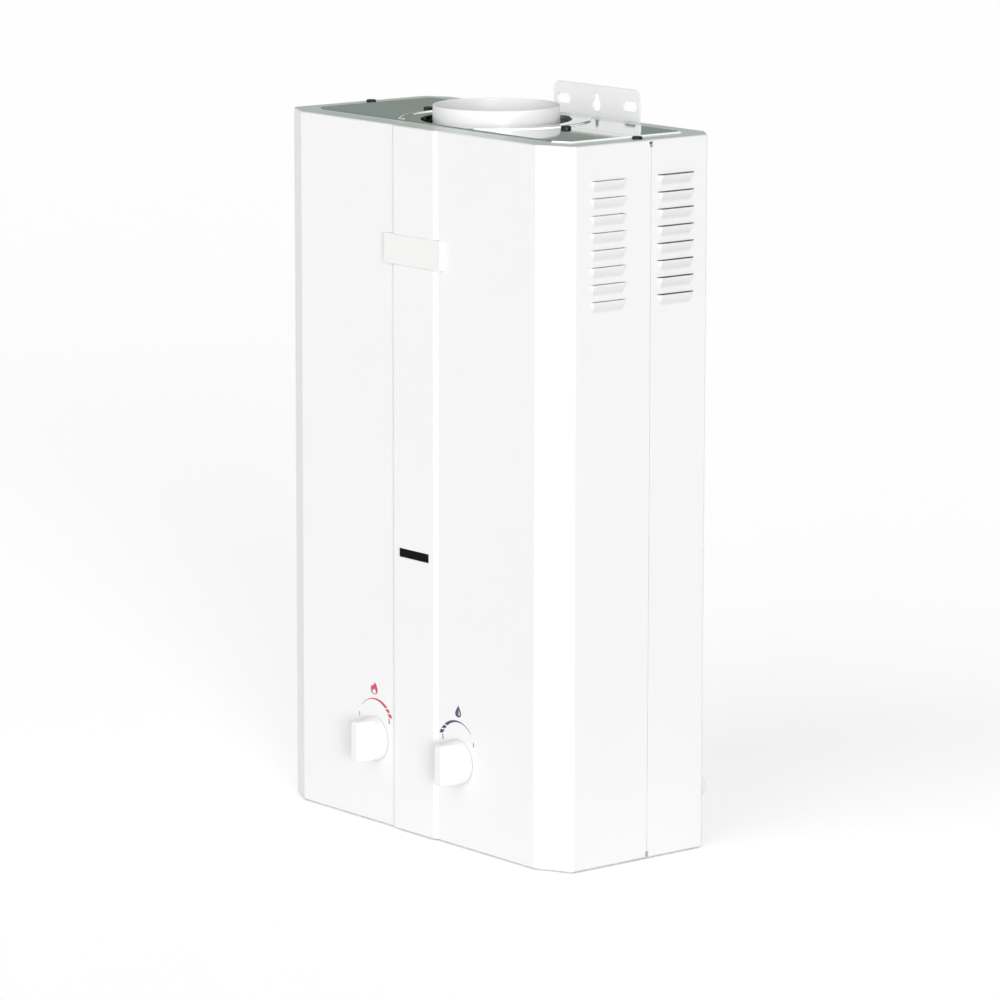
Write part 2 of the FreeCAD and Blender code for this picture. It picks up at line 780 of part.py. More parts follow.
def lid_screw_holes():
    """Holes for the lid screws, from above the lid down."""
    tools = []
    for x, y, z in lid_screw_places():
        tools.append(cylinder(Vector(x, y, z - SCREW_LENGTH), Z_AXIS, SCREW_LENGTH + OVER, SCREW_HOLE_R))
    return tools


def top_front_plate():
    """Front half of the lid."""
    half = lid().common(front_region(SEAM_DEPTH - SEAM_GAP / 2))
    return less(half, *lid_screw_holes()).removeSplitter()


def top_rear_plate():
    """Rear half of the lid, with the tab that lies under the front half."""
    start = SEAM_DEPTH + SEAM_GAP / 2
    half = lid().common(rear_region(start))
    reach = HALF_WIDTH - LID_BORDER - LID_SLOPE - OVER
    under = LID_TOP + LID_RAISE - LID_SHEET
    tab = box(-reach, reach, start - LID_TAB, start + LID_TAB_ROOT, under - LID_SHEET, under)
    tab = tab.cut(flue_hole())
    return less(half.fuse(tab), *lid_screw_holes()).removeSplitter()


def pan_screw(place, inward, length=SCREW_LENGTH):
    """Pan-head screw whose head sits on a face. Inward points into the material."""
    head = cone(place, inward * -1, HEAD_HEIGHT, HEAD_R, HEAD_R - HEAD_DOME)
    shank = cylinder(place, inward, length, SCREW_R)
    return joined(head, shank)


def top_screws():
    """Black screws of the lid."""
    down = Vector(0, 0, -1)
    return [pan_screw(Vector(x, y, z), down) for x, y, z in lid_screw_places()]


def case_screws():
    """Screws from the back panel into the base tray."""
    ahead = Vector(0, -1, 0)
    return [pan_screw(Vector(x, CASE_DEPTH, CASE_SCREW_Z), ahead) for x in CASE_SCREW_X]


def bracket_screws():
    """Screws through the wall bracket's feet."""
    ahead = Vector(0, -1, 0)
    return [pan_screw(Vector(x, CASE_DEPTH + BRACKET_SHEET, z), ahead) for x, z in bracket_screw_places()]


def badge_plate():
    """Bare plate across the raised strip, with a channel at its back for the strip."""
    half = BADGE_WIDTH / 2
    face = -STRIP_RAISE - BADGE_THICK
    corners = [
        Vector(-half, face, BADGE_Z - BADGE_HEIGHT / 2),
        Vector(half, face, BADGE_Z - BADGE_HEIGHT / 2),
        Vector(half, face, BADGE_Z + BADGE_HEIGHT / 2),
        Vector(-half, face, BADGE_Z + BADGE_HEIGHT / 2),
    ]
    plate = Part.Face(rounded(corners, [BADGE_CORNER] * 4)).extrude(Vector(0, -face, 0))
    front_edges = []
    for edge in plate.Edges:
        if all(abs(v.Point.y - face) < SMALL_GAP / 10 for v in edge.Vertexes):
            front_edges.append(edge)
    plate = plate.makeChamfer(BADGE_THICK / 3, front_edges)
    strip = Part.makePolygon([
        Vector(-STRIP_BASE - BADGE_RELIEF, OVER, 0),
        Vector(-STRIP_BASE - BADGE_RELIEF, 0, 0),
        Vector(-STRIP_TOP - SMALL_GAP, -STRIP_RAISE, 0),
        Vector(STRIP_TOP + SMALL_GAP, -STRIP_RAISE, 0),
        Vector(STRIP_BASE + BADGE_RELIEF, 0, 0),
        Vector(STRIP_BASE + BADGE_RELIEF, OVER, 0),
        Vector(-STRIP_BASE - BADGE_RELIEF, OVER, 0),
    ])
    return plate.cut(prism(strip, 0, CASE_HEIGHT))


def sight_window():
    """Dark heat-proof window behind the slot in the strip."""
    back = SHEET - STRIP_RAISE
    return box(-WINDOW_WIDTH / 2, WINDOW_WIDTH / 2, back, back + WINDOW_THICK,
               SLOT_Z - WINDOW_HEIGHT / 2, SLOT_Z + WINDOW_HEIGHT / 2)


def base_tray():
    """Bottom plate with a skirt down to the floor, holes for the connections and slots for air."""
    side = SHEET + SMALL_GAP
    tray = prism(case_plan(side, False), 0, BASE_Z)
    tray = tray.cut(prism(case_plan(side + SHEET, False), -OVER, BASE_Z - SHEET))
    tools = []
    for x, y, radius in fitting_holes():
        tools.append(cylinder(Vector(x, y, BASE_Z - SHEET - OVER), Z_AXIS, SHEET + 2 * OVER, radius))
    tools.append(box(BOX_LEFT - FITTING_HOLE, BOX_RIGHT + FITTING_HOLE, BOX_START - FITTING_HOLE,
                     BOX_END + FITTING_HOLE, BASE_Z - SHEET - OVER, BASE_Z + OVER))
    for i in range(AIR_SLOT_COUNT):
        x = AIR_SLOT_LEFT + i * AIR_SLOT_PITCH
        tools.append(box(x - AIR_SLOT_WIDTH / 2, x + AIR_SLOT_WIDTH / 2, AIR_SLOT_START, AIR_SLOT_END,
                         BASE_Z - SHEET - OVER, BASE_Z + OVER))
    for x in CASE_SCREW_X:
        tools.append(cylinder(Vector(x, REAR_INSIDE + OVER, CASE_SCREW_Z), Vector(0, -1, 0), 4 * SHEET,
                              SCREW_HOLE_R))
    return less(tray, *tools)


def fitting_holes():
    """Holes in the base plate: gas, cold water, hot water and relief valve."""
    return [
        (GAS_INLET_X, ROD_DEPTH, GAS_THREAD_R + FITTING_HOLE),
        (COLD_X, ROD_DEPTH, WATER_THREAD_R + FITTING_HOLE),
        (HOT_X, HOT_DEPTH, WATER_THREAD_R + FITTING_HOLE),
        (RELIEF_X, ROD_DEPTH, RELIEF_CAP_R + FITTING_HOLE),
    ]


def flue_collar():
    """White flue outlet with a rolled edge, and the flange that sits on the hood."""
    bottom = Vector(0, FLUE_DEPTH, HOOD_TOP)
    wall = tube_bar(bottom, Z_AXIS, COLLAR_TOP - HOOD_TOP, COLLAR_R, COLLAR_R - COLLAR_WALL)
    flange = tube_bar(bottom, Z_AXIS, SHEET, COLLAR_FLANGE_R, COLLAR_R - COLLAR_WALL)
    whole = joined(wall, flange)
    rim = [e for e in whole.Edges if e.BoundBox.ZMin > COLLAR_TOP - SMALL_GAP]
    return whole.makeFillet(COLLAR_WALL / 2 - SMALL_GAP / 2, rim)


def chamber_plan(distance, half_x=CHAMBER_HALF_X, half_y=CHAMBER_HALF_Y, z=0.0):
    """Rounded rectangle of the chamber, moved outwards by a distance."""
    x = half_x + distance
    y = half_y + distance
    corners = [
        Vector(-x, FLUE_DEPTH - y, z),
        Vector(x, FLUE_DEPTH - y, z),
        Vector(x, FLUE_DEPTH + y, z),
        Vector(-x, FLUE_DEPTH + y, z),
    ]
    return rounded(corners, [CHAMBER_CORNER + distance] * 4)


def flue_hood():
    """Sheet hood that narrows from the chamber to the flue, with a skirt round the chamber's top."""
    grow = HOOD_SHEET + SMALL_GAP
    skirt = prism(chamber_plan(grow), CHAMBER_TOP - HOOD_SKIRT, CHAMBER_TOP)
    skirt = skirt.cut(prism(chamber_plan(SMALL_GAP), CHAMBER_TOP - HOOD_SKIRT - OVER, CHAMBER_TOP + OVER))
    outer = Part.makeLoft([chamber_plan(grow, z=CHAMBER_TOP),
                           chamber_plan(grow, half_x=HOOD_TOP_HALF, z=HOOD_TOP)], True, True)
    inner = Part.makeLoft([chamber_plan(SMALL_GAP - HOOD_SHEET, z=CHAMBER_TOP),
                           chamber_plan(0, half_x=HOOD_TOP_HALF - HOOD_SHEET, z=HOOD_TOP - HOOD_SHEET)],
                          True, True)
    hole = cylinder(Vector(0, FLUE_DEPTH, HOOD_TOP - 2 * OVER), Z_AXIS, 4 * OVER, HOOD_HOLE_R)
    return joined(skirt, outer.cut(inner).cut(hole))


def combustion_chamber():
    """Copper box, open above and below, with holes where the tube passes through its upper sides."""
    wall = prism(chamber_plan(0), CHAMBER_BOTTOM, CHAMBER_TOP)
    wall = wall.cut(prism(chamber_plan(-CHAMBER_SHEET), CHAMBER_BOTTOM - OVER, CHAMBER_TOP + OVER))
    tools = []
    for depth in pass_depths():
        tools.append(cylinder(Vector(-CHAMBER_HALF_X - OVER, depth, PASS_Z), X_AXIS,
                              2 * CHAMBER_HALF_X + 2 * OVER, TUBE_R + FIN_HOLE))
    return less(wall, *tools)


def pass_depths():
    """The three depths at which the tube crosses the fins."""
    return [FLUE_DEPTH + i * PASS_PITCH for i in (-1, 0, 1)]


def exchanger_tube():
    """One copper tube: up from the water valve, twice round the chamber, through the fins and down."""
    first, middle, last = pass_depths()
    high = COIL_Z + COIL_RISE
    points = [
        Vector(WATER_BOSS_END - OVER, ROD_DEPTH, WATER_OUT_Z),
        Vector(TUBE_SIDE_X, ROD_DEPTH, WATER_OUT_Z),
        Vector(TUBE_SIDE_X, ROD_DEPTH, COIL_Z),
        Vector(TUBE_SIDE_X, TUBE_FRONT, COIL_Z),
        Vector(-TUBE_SIDE_X, TUBE_FRONT, COIL_Z),
        Vector(-TUBE_SIDE_X, TUBE_BACK, COIL_Z),
        Vector(TUBE_SIDE_X, TUBE_BACK, COIL_Z),
        Vector(TUBE_SIDE_X, TUBE_FRONT, high),
        Vector(-TUBE_OFFSET_X, TUBE_FRONT, high),
        Vector(-TUBE_OFFSET_X, first, high),
        Vector(-TUBE_OFFSET_X, first, PASS_Z),
        Vector(RETURN_X + RETURN_BEND, first, PASS_Z),
        Vector(RETURN_X + RETURN_BEND, middle, PASS_Z),
        Vector(-RETURN_X - RETURN_BEND, middle, PASS_Z),
        Vector(-RETURN_X - RETURN_BEND, last, PASS_Z),
        Vector(HOT_X, last, PASS_Z),
        Vector(HOT_X, last, HOT_FITTING_TOP - 2 * OVER),
    ]
    bend = COIL_BEND
    radii = [bend] * 10 + [RETURN_BEND] * 4 + [bend]
    return bent_tube(points, radii, TUBE_R, TUBE_R - TUBE_WALL)


def exchanger_fins():
    """Copper fins across the top of the chamber, each threaded on the three passes of the tube."""
    fins = []
    half = CHAMBER_HALF_Y - CHAMBER_SHEET - FIN_EDGE + SMALL_GAP
    first = -(FIN_COUNT - 1) * FIN_PITCH / 2
    for i in range(FIN_COUNT):
        x = first + i * FIN_PITCH
        fin = box(x, x + FIN_THICK, FLUE_DEPTH - half, FLUE_DEPTH + half,
                  PASS_Z - FIN_HEIGHT / 2, PASS_Z + FIN_HEIGHT / 2)
        for depth in pass_depths():
            fin = fin.cut(cylinder(Vector(x - OVER, depth, PASS_Z), X_AXIS, FIN_THICK + 2 * OVER,
                                   TUBE_R + FIN_HOLE))
        fins.append(fin)
    return fins


def chamber_brackets():
    """Two angle straps that hold the chamber to the back panel."""
    straps = []
    for side in (-1, 1):
        inner = side * CHAMBER_HALF_X
        outer = side * (CHAMBER_HALF_X + SHEET)
        foot = side * (CHAMBER_HALF_X + STRAP_FOOT)
        arm = box(min(inner, outer), max(inner, outer), STRAP_START, REAR_INSIDE, STRAP_BOTTOM, STRAP_TOP)
        plate = box(min(inner, foot), max(inner, foot), REAR_INSIDE - SHEET, REAR_INSIDE,
                    STRAP_BOTTOM, STRAP_TOP)
        straps.append(joined(arm, plate))
    return straps


def heat_shield():
    """Plate between the chamber and the back panel, on four feet."""
    plate = box(-SHIELD_HALF_X, SHIELD_HALF_X, SHIELD_DEPTH, SHIELD_DEPTH + SHEET, SHIELD_BOTTOM, SHIELD_TOP)
    feet = []
    for side in (-1, 1):
        for z in (SHIELD_BOTTOM + SHIELD_FOOT_IN, SHIELD_TOP - SHIELD_FOOT_IN):
            feet.append(cone(Vector(side * SHIELD_FOOT_X, SHIELD_DEPTH, z), Y_AXIS,
                             REAR_INSIDE - SHIELD_DEPTH, SHIELD_FOOT_R + SHEET, SHIELD_FOOT_R))
    return joined(plate, *feet)


def bar_places():
    """X of each burner bar."""
    first = -(BAR_COUNT - 1) * BAR_PITCH / 2
    return [first + i * BAR_PITCH for i in range(BAR_COUNT)]


def burner_tray():
    """Frame that carries the burner bars, with two rails, rear legs, nozzle holes and a sight opening."""
    tray = box(-TRAY_HALF_X, TRAY_HALF_X, TRAY_FRONT, TRAY_BACK, TRAY_BOTTOM, TRAY_TOP)
    tray = tray.cut(box(SHEET - TRAY_HALF_X, TRAY_HALF_X - SHEET, TRAY_FRONT + SHEET, TRAY_BACK - SHEET,
                        TRAY_BOTTOM - OVER, TRAY_TOP + OVER))
    added = []
    for start in (TRAY_FRONT + TRAY_RAIL_INSET, TRAY_BACK - TRAY_RAIL_INSET - TRAY_RAIL):
        added.append(box(-TRAY_HALF_X, TRAY_HALF_X, start, start + TRAY_RAIL, TRAY_BOTTOM, TRAY_BOTTOM + SHEET))
    for side in (-1, 1):
        x = side * TRAY_LEG_X
        added.append(box(x - TRAY_LEG_HALF, x + TRAY_LEG_HALF, TRAY_BACK - SHEET, REAR_INSIDE,
                         TRAY_LEG_BOTTOM, TRAY_LEG_BOTTOM + SHEET))
        added.append(box(x - TRAY_LEG_HALF, x + TRAY_LEG_HALF, REAR_INSIDE - SHEET, REAR_INSIDE,
                         TRAY_LEG_BOTTOM, TRAY_LEG_TOP))
    tools = []
    for x in bar_places():
        tools.append(cylinder(Vector(x, TRAY_FRONT - OVER, BAR_TUBE_Z), Y_AXIS, SHEET + 2 * OVER, NOZZLE_HOLE_R))
    for side in (-1, 1):
        tools.append(cylinder(Vector(side * PROBE_X, TRAY_FRONT - OVER, PROBE_Z), Y_AXIS, SHEET + 2 * OVER,
                              PROBE_R + SMALL_GAP))
    tools.append(box(-PEEP_HALF, PEEP_HALF, TRAY_FRONT - OVER, TRAY_FRONT + SHEET + OVER,
                     PEEP_BOTTOM, PEEP_TOP))
    return less(joined(tray, *added), *tools)


def burner_bar(x):
    """Pressed burner bar: venturi tube below, narrow neck, and a head with flame ports."""
    tube = cylinder(Vector(x, BAR_START, BAR_TUBE_Z), Y_AXIS, BAR_END - BAR_START, BAR_TUBE_R)
    neck = box(x - BAR_NECK / 2, x + BAR_NECK / 2, BAR_START + BAR_TUBE_R, BAR_END, BAR_TUBE_Z, BAR_HEAD_BOTTOM)
    head = box(x - BAR_HEAD / 2, x + BAR_HEAD / 2, BAR_START + BAR_TUBE_R, BAR_END, BAR_HEAD_BOTTOM, BAR_TOP)
    mouth = cone(Vector(x, BAR_START, BAR_TUBE_Z), Y_AXIS, BAR_MOUTH_LENGTH, BAR_MOUTH_R + SMALL_GAP,
                 BAR_MOUTH_R / 2)
    ports = []
    middle = (BAR_START + BAR_TUBE_R + BAR_END) / 2
    for i in range(PORT_COUNT):
        depth = middle + (i - (PORT_COUNT - 1) / 2) * PORT_PITCH
        ports.append(box(x - PORT_LENGTH / 2, x + PORT_LENGTH / 2, depth - PORT_WIDTH / 2,
                         depth + PORT_WIDTH / 2, BAR_TOP - PORT_DEPTH, BAR_TOP + OVER))
    return less(joined(tube, neck, head), mouth, *ports)


def burner_bars():
    """The row of equal bars."""
    return [burner_bar(x) for x in bar_places()]


def gas_manifold():
    """Pipe across the front of the burner, held to the tray by a tab at each end."""
    pipe = cylinder(Vector(-MANIFOLD_HALF, MANIFOLD_DEPTH, BAR_TUBE_Z), X_AXIS, 2 * MANIFOLD_HALF, MANIFOLD_R)
    bore = cylinder(Vector(MANIFOLD_TAB - MANIFOLD_HALF, MANIFOLD_DEPTH, BAR_TUBE_Z), X_AXIS,
                    2 * (MANIFOLD_HALF - MANIFOLD_TAB), MANIFOLD_BORE)
    tabs = []
    for side in (-1, 1):
        x0 = side * MANIFOLD_HALF
        x1 = side * (MANIFOLD_HALF + MANIFOLD_TAB)
        tabs.append(box(min(x0, x1), max(x0, x1), MANIFOLD_DEPTH - MANIFOLD_R, TRAY_FRONT,
                        BAR_TUBE_Z - MANIFOLD_R, BAR_TUBE_Z + MANIFOLD_R))
    return joined(pipe, *tabs).cut(bore)


def gas_nozzles():
    """Brass jets, one for each burner bar."""
    start = MANIFOLD_DEPTH + MANIFOLD_R + NOZZLE_SEAT
    return [cone(Vector(x, start, BAR_TUBE_Z), Y_AXIS, NOZZLE_END - start, NOZZLE_BASE_R, NOZZLE_TIP_R)
            for x in bar_places()]


def gas_pipe():
    """Bent pipe from the gas valve to the manifold."""
    points = [
        Vector(GAS_OUTLET_X, ROD_DEPTH, GAS_OUTLET_TOP + SMALL_GAP),
        Vector(GAS_OUTLET_X, ROD_DEPTH, GAS_PIPE_TURN_Z),
        Vector(GAS_OUTLET_X, MANIFOLD_DEPTH, GAS_PIPE_TURN_Z),
        Vector(GAS_OUTLET_X, MANIFOLD_DEPTH, BAR_TUBE_Z - MANIFOLD_R - NOZZLE_SEAT),
    ]
    return bent_tube(points, [GAS_PIPE_BEND] * 2, GAS_PIPE_R, GAS_PIPE_R - GAS_PIPE_WALL)


def probe(x):
    """Ceramic rod through the tray's front, with a wire that bends down over the burner."""
    body = cylinder(Vector(x, PROBE_START, PROBE_Z), Y_AXIS, PROBE_END - PROBE_START, PROBE_R)
    points = [
        Vector(x, PROBE_END - OVER, PROBE_Z),
        Vector(x, PROBE_WIRE_REACH, PROBE_Z),
        Vector(x, PROBE_WIRE_REACH, PROBE_Z - PROBE_WIRE_DROP),
    ]
    return body.fuse(bent_tube(points, [PROBE_WIRE_BEND], PROBE_WIRE_R, 0))


def overheat_thermostat():
    """Round cut-out on the chamber's front wall, with two flat terminals."""
    face = FLUE_DEPTH - CHAMBER_HALF_Y
    body = cylinder(Vector(THERMOSTAT_X, face, THERMOSTAT_Z), Vector(0, -1, 0), THERMOSTAT_HEIGHT, THERMOSTAT_R)
    blades = []
    for side in (-1, 1):
        x = THERMOSTAT_X + side * THERMOSTAT_R / 2
        blades.append(box(x - SWITCH_BLADE_WIDTH / 2, x + SWITCH_BLADE_WIDTH / 2,
                          face - THERMOSTAT_HEIGHT, face - THERMOSTAT_HEIGHT + SWITCH_BLADE_THICK,
                          THERMOSTAT_Z, THERMOSTAT_Z + THERMOSTAT_R + SWITCH_BLADE_HEIGHT))
    return joined(body, *blades)


def knob(x):
    """Round base with a straight, tapered grip across it, a D-shaped bore and a small dot."""
    front = -KNOB_REACH
    disc_front = -KNOB_GAP - KNOB_DISC
    disc = cone(Vector(x, -KNOB_GAP, KNOB_Z), Vector(0, -1, 0), KNOB_DISC, KNOB_R, KNOB_R - KNOB_EDGE)
    grip_back = Part.makePolygon([
        Vector(x - KNOB_GRIP_BASE, disc_front + KNOB_EDGE, KNOB_Z - KNOB_R),
        Vector(x + KNOB_GRIP_BASE, disc_front + KNOB_EDGE, KNOB_Z - KNOB_R),
        Vector(x + KNOB_GRIP_BASE, disc_front + KNOB_EDGE, KNOB_Z + KNOB_R),
        Vector(x - KNOB_GRIP_BASE, disc_front + KNOB_EDGE, KNOB_Z + KNOB_R),
        Vector(x - KNOB_GRIP_BASE, disc_front + KNOB_EDGE, KNOB_Z - KNOB_R),
    ])
    grip_front = Part.makePolygon([
        Vector(x - KNOB_GRIP_FRONT, front, KNOB_Z - KNOB_R),
        Vector(x + KNOB_GRIP_FRONT, front, KNOB_Z - KNOB_R),
        Vector(x + KNOB_GRIP_FRONT, front, KNOB_Z + KNOB_R),
        Vector(x - KNOB_GRIP_FRONT, front, KNOB_Z + KNOB_R),
        Vector(x - KNOB_GRIP_FRONT, front, KNOB_Z - KNOB_R),
    ])
    grip = Part.makeLoft([grip_back, grip_front], True, True)
    round_end = cone(Vector(x, disc_front + KNOB_EDGE, KNOB_Z), Vector(0, -1, 0),
                     disc_front + KNOB_EDGE - front, KNOB_R - KNOB_EDGE, KNOB_R - KNOB_EDGE - KNOB_DRAFT)
    grip = grip.common(round_end)
    body = joined(disc, grip)
    rim = [e for e in body.Edges if e.BoundBox.YMax < front + SMALL_GAP]
    body = body.makeChamfer(KNOB_EDGE, rim)
    bore = cylinder(Vector(x, -KNOB_GAP + OVER, KNOB_Z), Vector(0, -1, 0), KNOB_BORE_DEPTH + OVER,
                    SPINDLE_R + RUNNING)
    flat = box(x - KNOB_R, x + KNOB_R, -KNOB_REACH, OVER + SHEET, KNOB_Z - KNOB_R,
               KNOB_Z - SPINDLE_FLAT - RUNNING)
    dot = cylinder(Vector(x, front - OVER, KNOB_Z + KNOB_R - KNOB_DOT_IN), Y_AXIS, OVER + KNOB_DOT_SINK,
                   KNOB_DOT_R)
    return less(body, bore.cut(flat), dot)


def spindle(x):
    """Turned spindle with a flat for the knob, and a drilled plug that turns in the valve."""
    shaft = cylinder(Vector(x, SPINDLE_START, KNOB_Z), Y_AXIS, PLUG_START - SPINDLE_START, SPINDLE_R)
    flat = box(x - SPINDLE_R - OVER, x + SPINDLE_R + OVER, SPINDLE_START - OVER, 0,
               KNOB_Z - SPINDLE_R - OVER, KNOB_Z - SPINDLE_FLAT)
    plug = cylinder(Vector(x, PLUG_START, KNOB_Z), Y_AXIS, PLUG_END - PLUG_START, PLUG_R)
    port = cylinder(Vector(x, (PLUG_START + PLUG_END) / 2, KNOB_Z - PLUG_R - OVER), Z_AXIS,
                    2 * PLUG_R + 2 * OVER, PLUG_PORT_R)
    return less(joined(shaft.cut(flat), plug), port)


def gland_nuts():
    """Hexagonal nuts that hold both spindles in the valves."""
    return [hexagon(Vector(side * KNOB_X, VALVE_FRONT - GLAND_LENGTH, KNOB_Z), Y_AXIS, GLAND_LENGTH,
                    GLAND_FLATS, SPINDLE_R + RUNNING) for side in (-1, 1)]


def plug_bore(x):
    """Bore for a spindle's plug, open at the front of the valve."""
    return cylinder(Vector(x, VALVE_FRONT - OVER, KNOB_Z), Y_AXIS, PLUG_END + SMALL_GAP - VALVE_FRONT + OVER,
                    PLUG_R + RUNNING)


def gas_valve_body():
    """Casting with the tap in front, the safety valve behind and the link valve above."""
    tap = cylinder(Vector(-KNOB_X, VALVE_FRONT, KNOB_Z), Y_AXIS, TAP_BARREL_END - VALVE_FRONT, TAP_BARREL_R)
    barrel = cylinder(Vector(GAS_LEFT, ROD_DEPTH, ROD_Z), X_AXIS, GAS_RIGHT - GAS_LEFT, GAS_BARREL_R)
    riser = box(-KNOB_X - TAP_BARREL_R, -KNOB_X + TAP_BARREL_R, ROD_DEPTH - TAP_BARREL_R,
                ROD_DEPTH + TAP_BARREL_R, KNOB_Z, ROD_Z)
    inlet = cylinder(Vector(GAS_INLET_X, ROD_DEPTH, VALVE_BOTTOM), Z_AXIS, INLET_BOSS_TOP - VALVE_BOTTOM,
                     INLET_BOSS_R)
    outlet = cylinder(Vector(GAS_OUTLET_X, ROD_DEPTH, ROD_Z), Z_AXIS, GAS_OUTLET_TOP - ROD_Z, GAS_OUTLET_R)
    body = joined(tap, barrel, riser, inlet, outlet)
    chamber = cylinder(Vector(GAS_LEFT - OVER, ROD_DEPTH, ROD_Z), X_AXIS, GAS_SEAT_LEFT - GAS_LEFT + OVER,
                       GAS_CHAMBER_R)
    seat = cylinder(Vector(GAS_SEAT_LEFT - OVER, ROD_DEPTH, ROD_Z), X_AXIS,
                    GAS_SEAT_RIGHT - GAS_SEAT_LEFT + 2 * OVER, SEAT_HOLE_R)
    beyond = cylinder(Vector(GAS_SEAT_RIGHT, ROD_DEPTH, ROD_Z), X_AXIS, GAS_CHAMBER_RIGHT - GAS_SEAT_RIGHT,
                      GAS_CHAMBER_R)
    rod_bore = cylinder(Vector(GAS_CHAMBER_RIGHT - OVER, ROD_DEPTH, ROD_Z), X_AXIS,
                        GAS_RIGHT - GAS_CHAMBER_RIGHT + 2 * OVER, ROD_R + RUNNING)
    inlet_bore = cylinder(Vector(GAS_INLET_X, ROD_DEPTH, VALVE_BOTTOM - OVER), Z_AXIS,
                          ROD_Z - VALVE_BOTTOM, GAS_BORE_R)
    tap_way = cylinder(Vector(-KNOB_X, (PLUG_START + PLUG_END) / 2, KNOB_Z), Z_AXIS, ROD_Z - KNOB_Z,
                       PLUG_PORT_R)
    outlet_bore = cylinder(Vector(GAS_OUTLET_X, ROD_DEPTH, ROD_Z), Z_AXIS, GAS_OUTLET_TOP - ROD_Z + OVER,
                           PLUG_PORT_R)
    plunger_bore = cylinder(Vector(-KNOB_X, PLUG_END, KNOB_Z), Y_AXIS, TAP_BARREL_END - PLUG_END + OVER,
                            PLUNGER_R + RUNNING)
    return less(body, plug_bore(-KNOB_X), chamber, seat, beyond, rod_bore, inlet_bore, tap_way, outlet_bore,
                plunger_bore)


def gas_valve_cap():
    """Hexagonal cap that closes the link valve and seats its spring."""
    head = hexagon(Vector(GAS_LEFT - CAP_HEAD, ROD_DEPTH, ROD_Z), X_AXIS, CAP_HEAD, CAP_FLATS, 0)
    plug = cylinder(Vector(GAS_LEFT, ROD_DEPTH, ROD_Z), X_AXIS, GAS_CHAMBER_LEFT - GAS_LEFT,
                    GAS_CHAMBER_R - SMALL_GAP)
    return joined(head, plug)


def gas_valve_spring():
    """Helical spring of square wire between the cap and the poppet."""
    poppet_back = GAS_SEAT_LEFT - POPPET_GAP - POPPET_THICK
    start = GAS_CHAMBER_LEFT + SMALL_GAP
    length = poppet_back - SMALL_GAP - start - SPRING_WIRE
    helix = Part.makeHelix(length / SPRING_TURNS, length, SPRING_R)
    half = SPRING_WIRE / 2
    profile = Part.makePolygon([
        Vector(SPRING_R - half, 0, -half),
        Vector(SPRING_R + half, 0, -half),
        Vector(SPRING_R + half, 0, half),
        Vector(SPRING_R - half, 0, half),
        Vector(SPRING_R - half, 0, -half),
    ])
    spring = Part.Wire(helix).makePipeShell([profile], True, True)
    spring.rotate(Vector(0, 0, 0), Y_AXIS, 90)
    spring.translate(Vector(start + half, ROD_DEPTH, ROD_Z))
    return spring


def push_rod():
    """Rod from the diaphragm plate to the gas poppet, with the cone that lifts the switch lever."""
    plate_left = DIAPHRAGM_LEFT - SMALL_GAP - PLATE_THICK
    poppet_right = GAS_SEAT_LEFT - POPPET_GAP
    poppet_left = poppet_right - POPPET_THICK
    rod = cylinder(Vector(poppet_left, ROD_DEPTH, ROD_Z), X_AXIS, plate_left - poppet_left, ROD_R)
    plate = cylinder(Vector(plate_left, ROD_DEPTH, ROD_Z), X_AXIS, PLATE_THICK, PLATE_R)
    poppet = cylinder(Vector(poppet_left, ROD_DEPTH, ROD_Z), X_AXIS, POPPET_THICK, POPPET_R)
    guide = cylinder(Vector(poppet_left - GUIDE_LENGTH, ROD_DEPTH, ROD_Z), X_AXIS, GUIDE_LENGTH, GUIDE_R)
    lifting = cone(Vector(LEVER_TIP_X + SMALL_GAP, ROD_DEPTH, ROD_Z), X_AXIS, CONE_LENGTH, ROD_R,
                   ROD_R + CONE_RISE)
    return joined(rod, plate, poppet, guide, lifting)


def disc_bolt_places():
    """Places of the bolts round the diaphragm, as depth and height."""
    places = []
    for i in range(BOLT_COUNT):
        turn = math.radians(45 + 360 * i / BOLT_COUNT)
        places.append((ROD_DEPTH + BOLT_CIRCLE_R * math.cos(turn), ROD_Z + BOLT_CIRCLE_R * math.sin(turn)))
    return places


def disc_bolt_holes():
    """Clearance holes for the diaphragm bolts."""
    return [cylinder(Vector(DIAPHRAGM_COVER_LEFT - OVER, depth, z), X_AXIS, BOLT_LENGTH + 2 * OVER,
                     BOLT_R + SCREW_HOLE) for depth, z in disc_bolt_places()]


def diaphragm():
    """Rubber disc clamped between the water valve and its cover."""
    disc = cylinder(Vector(DIAPHRAGM_LEFT, ROD_DEPTH, ROD_Z), X_AXIS, DIAPHRAGM_THICK, DISC_R)
    return less(disc, *disc_bolt_holes())


def diaphragm_cover():
    """Cover of the diaphragm, with the guide for the rod."""
    width = DIAPHRAGM_LEFT - DIAPHRAGM_COVER_LEFT
    disc = cylinder(Vector(DIAPHRAGM_COVER_LEFT, ROD_DEPTH, ROD_Z), X_AXIS, width, DISC_R)
    boss = cylinder(Vector(COVER_BOSS_LEFT + ROD_TRAVEL, ROD_DEPTH, ROD_Z), X_AXIS,
                    DIAPHRAGM_COVER_LEFT - COVER_BOSS_LEFT - ROD_TRAVEL, COVER_BOSS_R)
    cavity = cylinder(Vector(DIAPHRAGM_COVER_LEFT + COVER_WALL, ROD_DEPTH, ROD_Z), X_AXIS, width,
                      DISC_CAVITY_R)
    bore = cylinder(Vector(COVER_BOSS_LEFT - OVER, ROD_DEPTH, ROD_Z), X_AXIS,
                    DIAPHRAGM_LEFT - COVER_BOSS_LEFT, ROD_R + RUNNING)
    return less(joined(disc, boss), cavity, bore, *disc_bolt_holes())


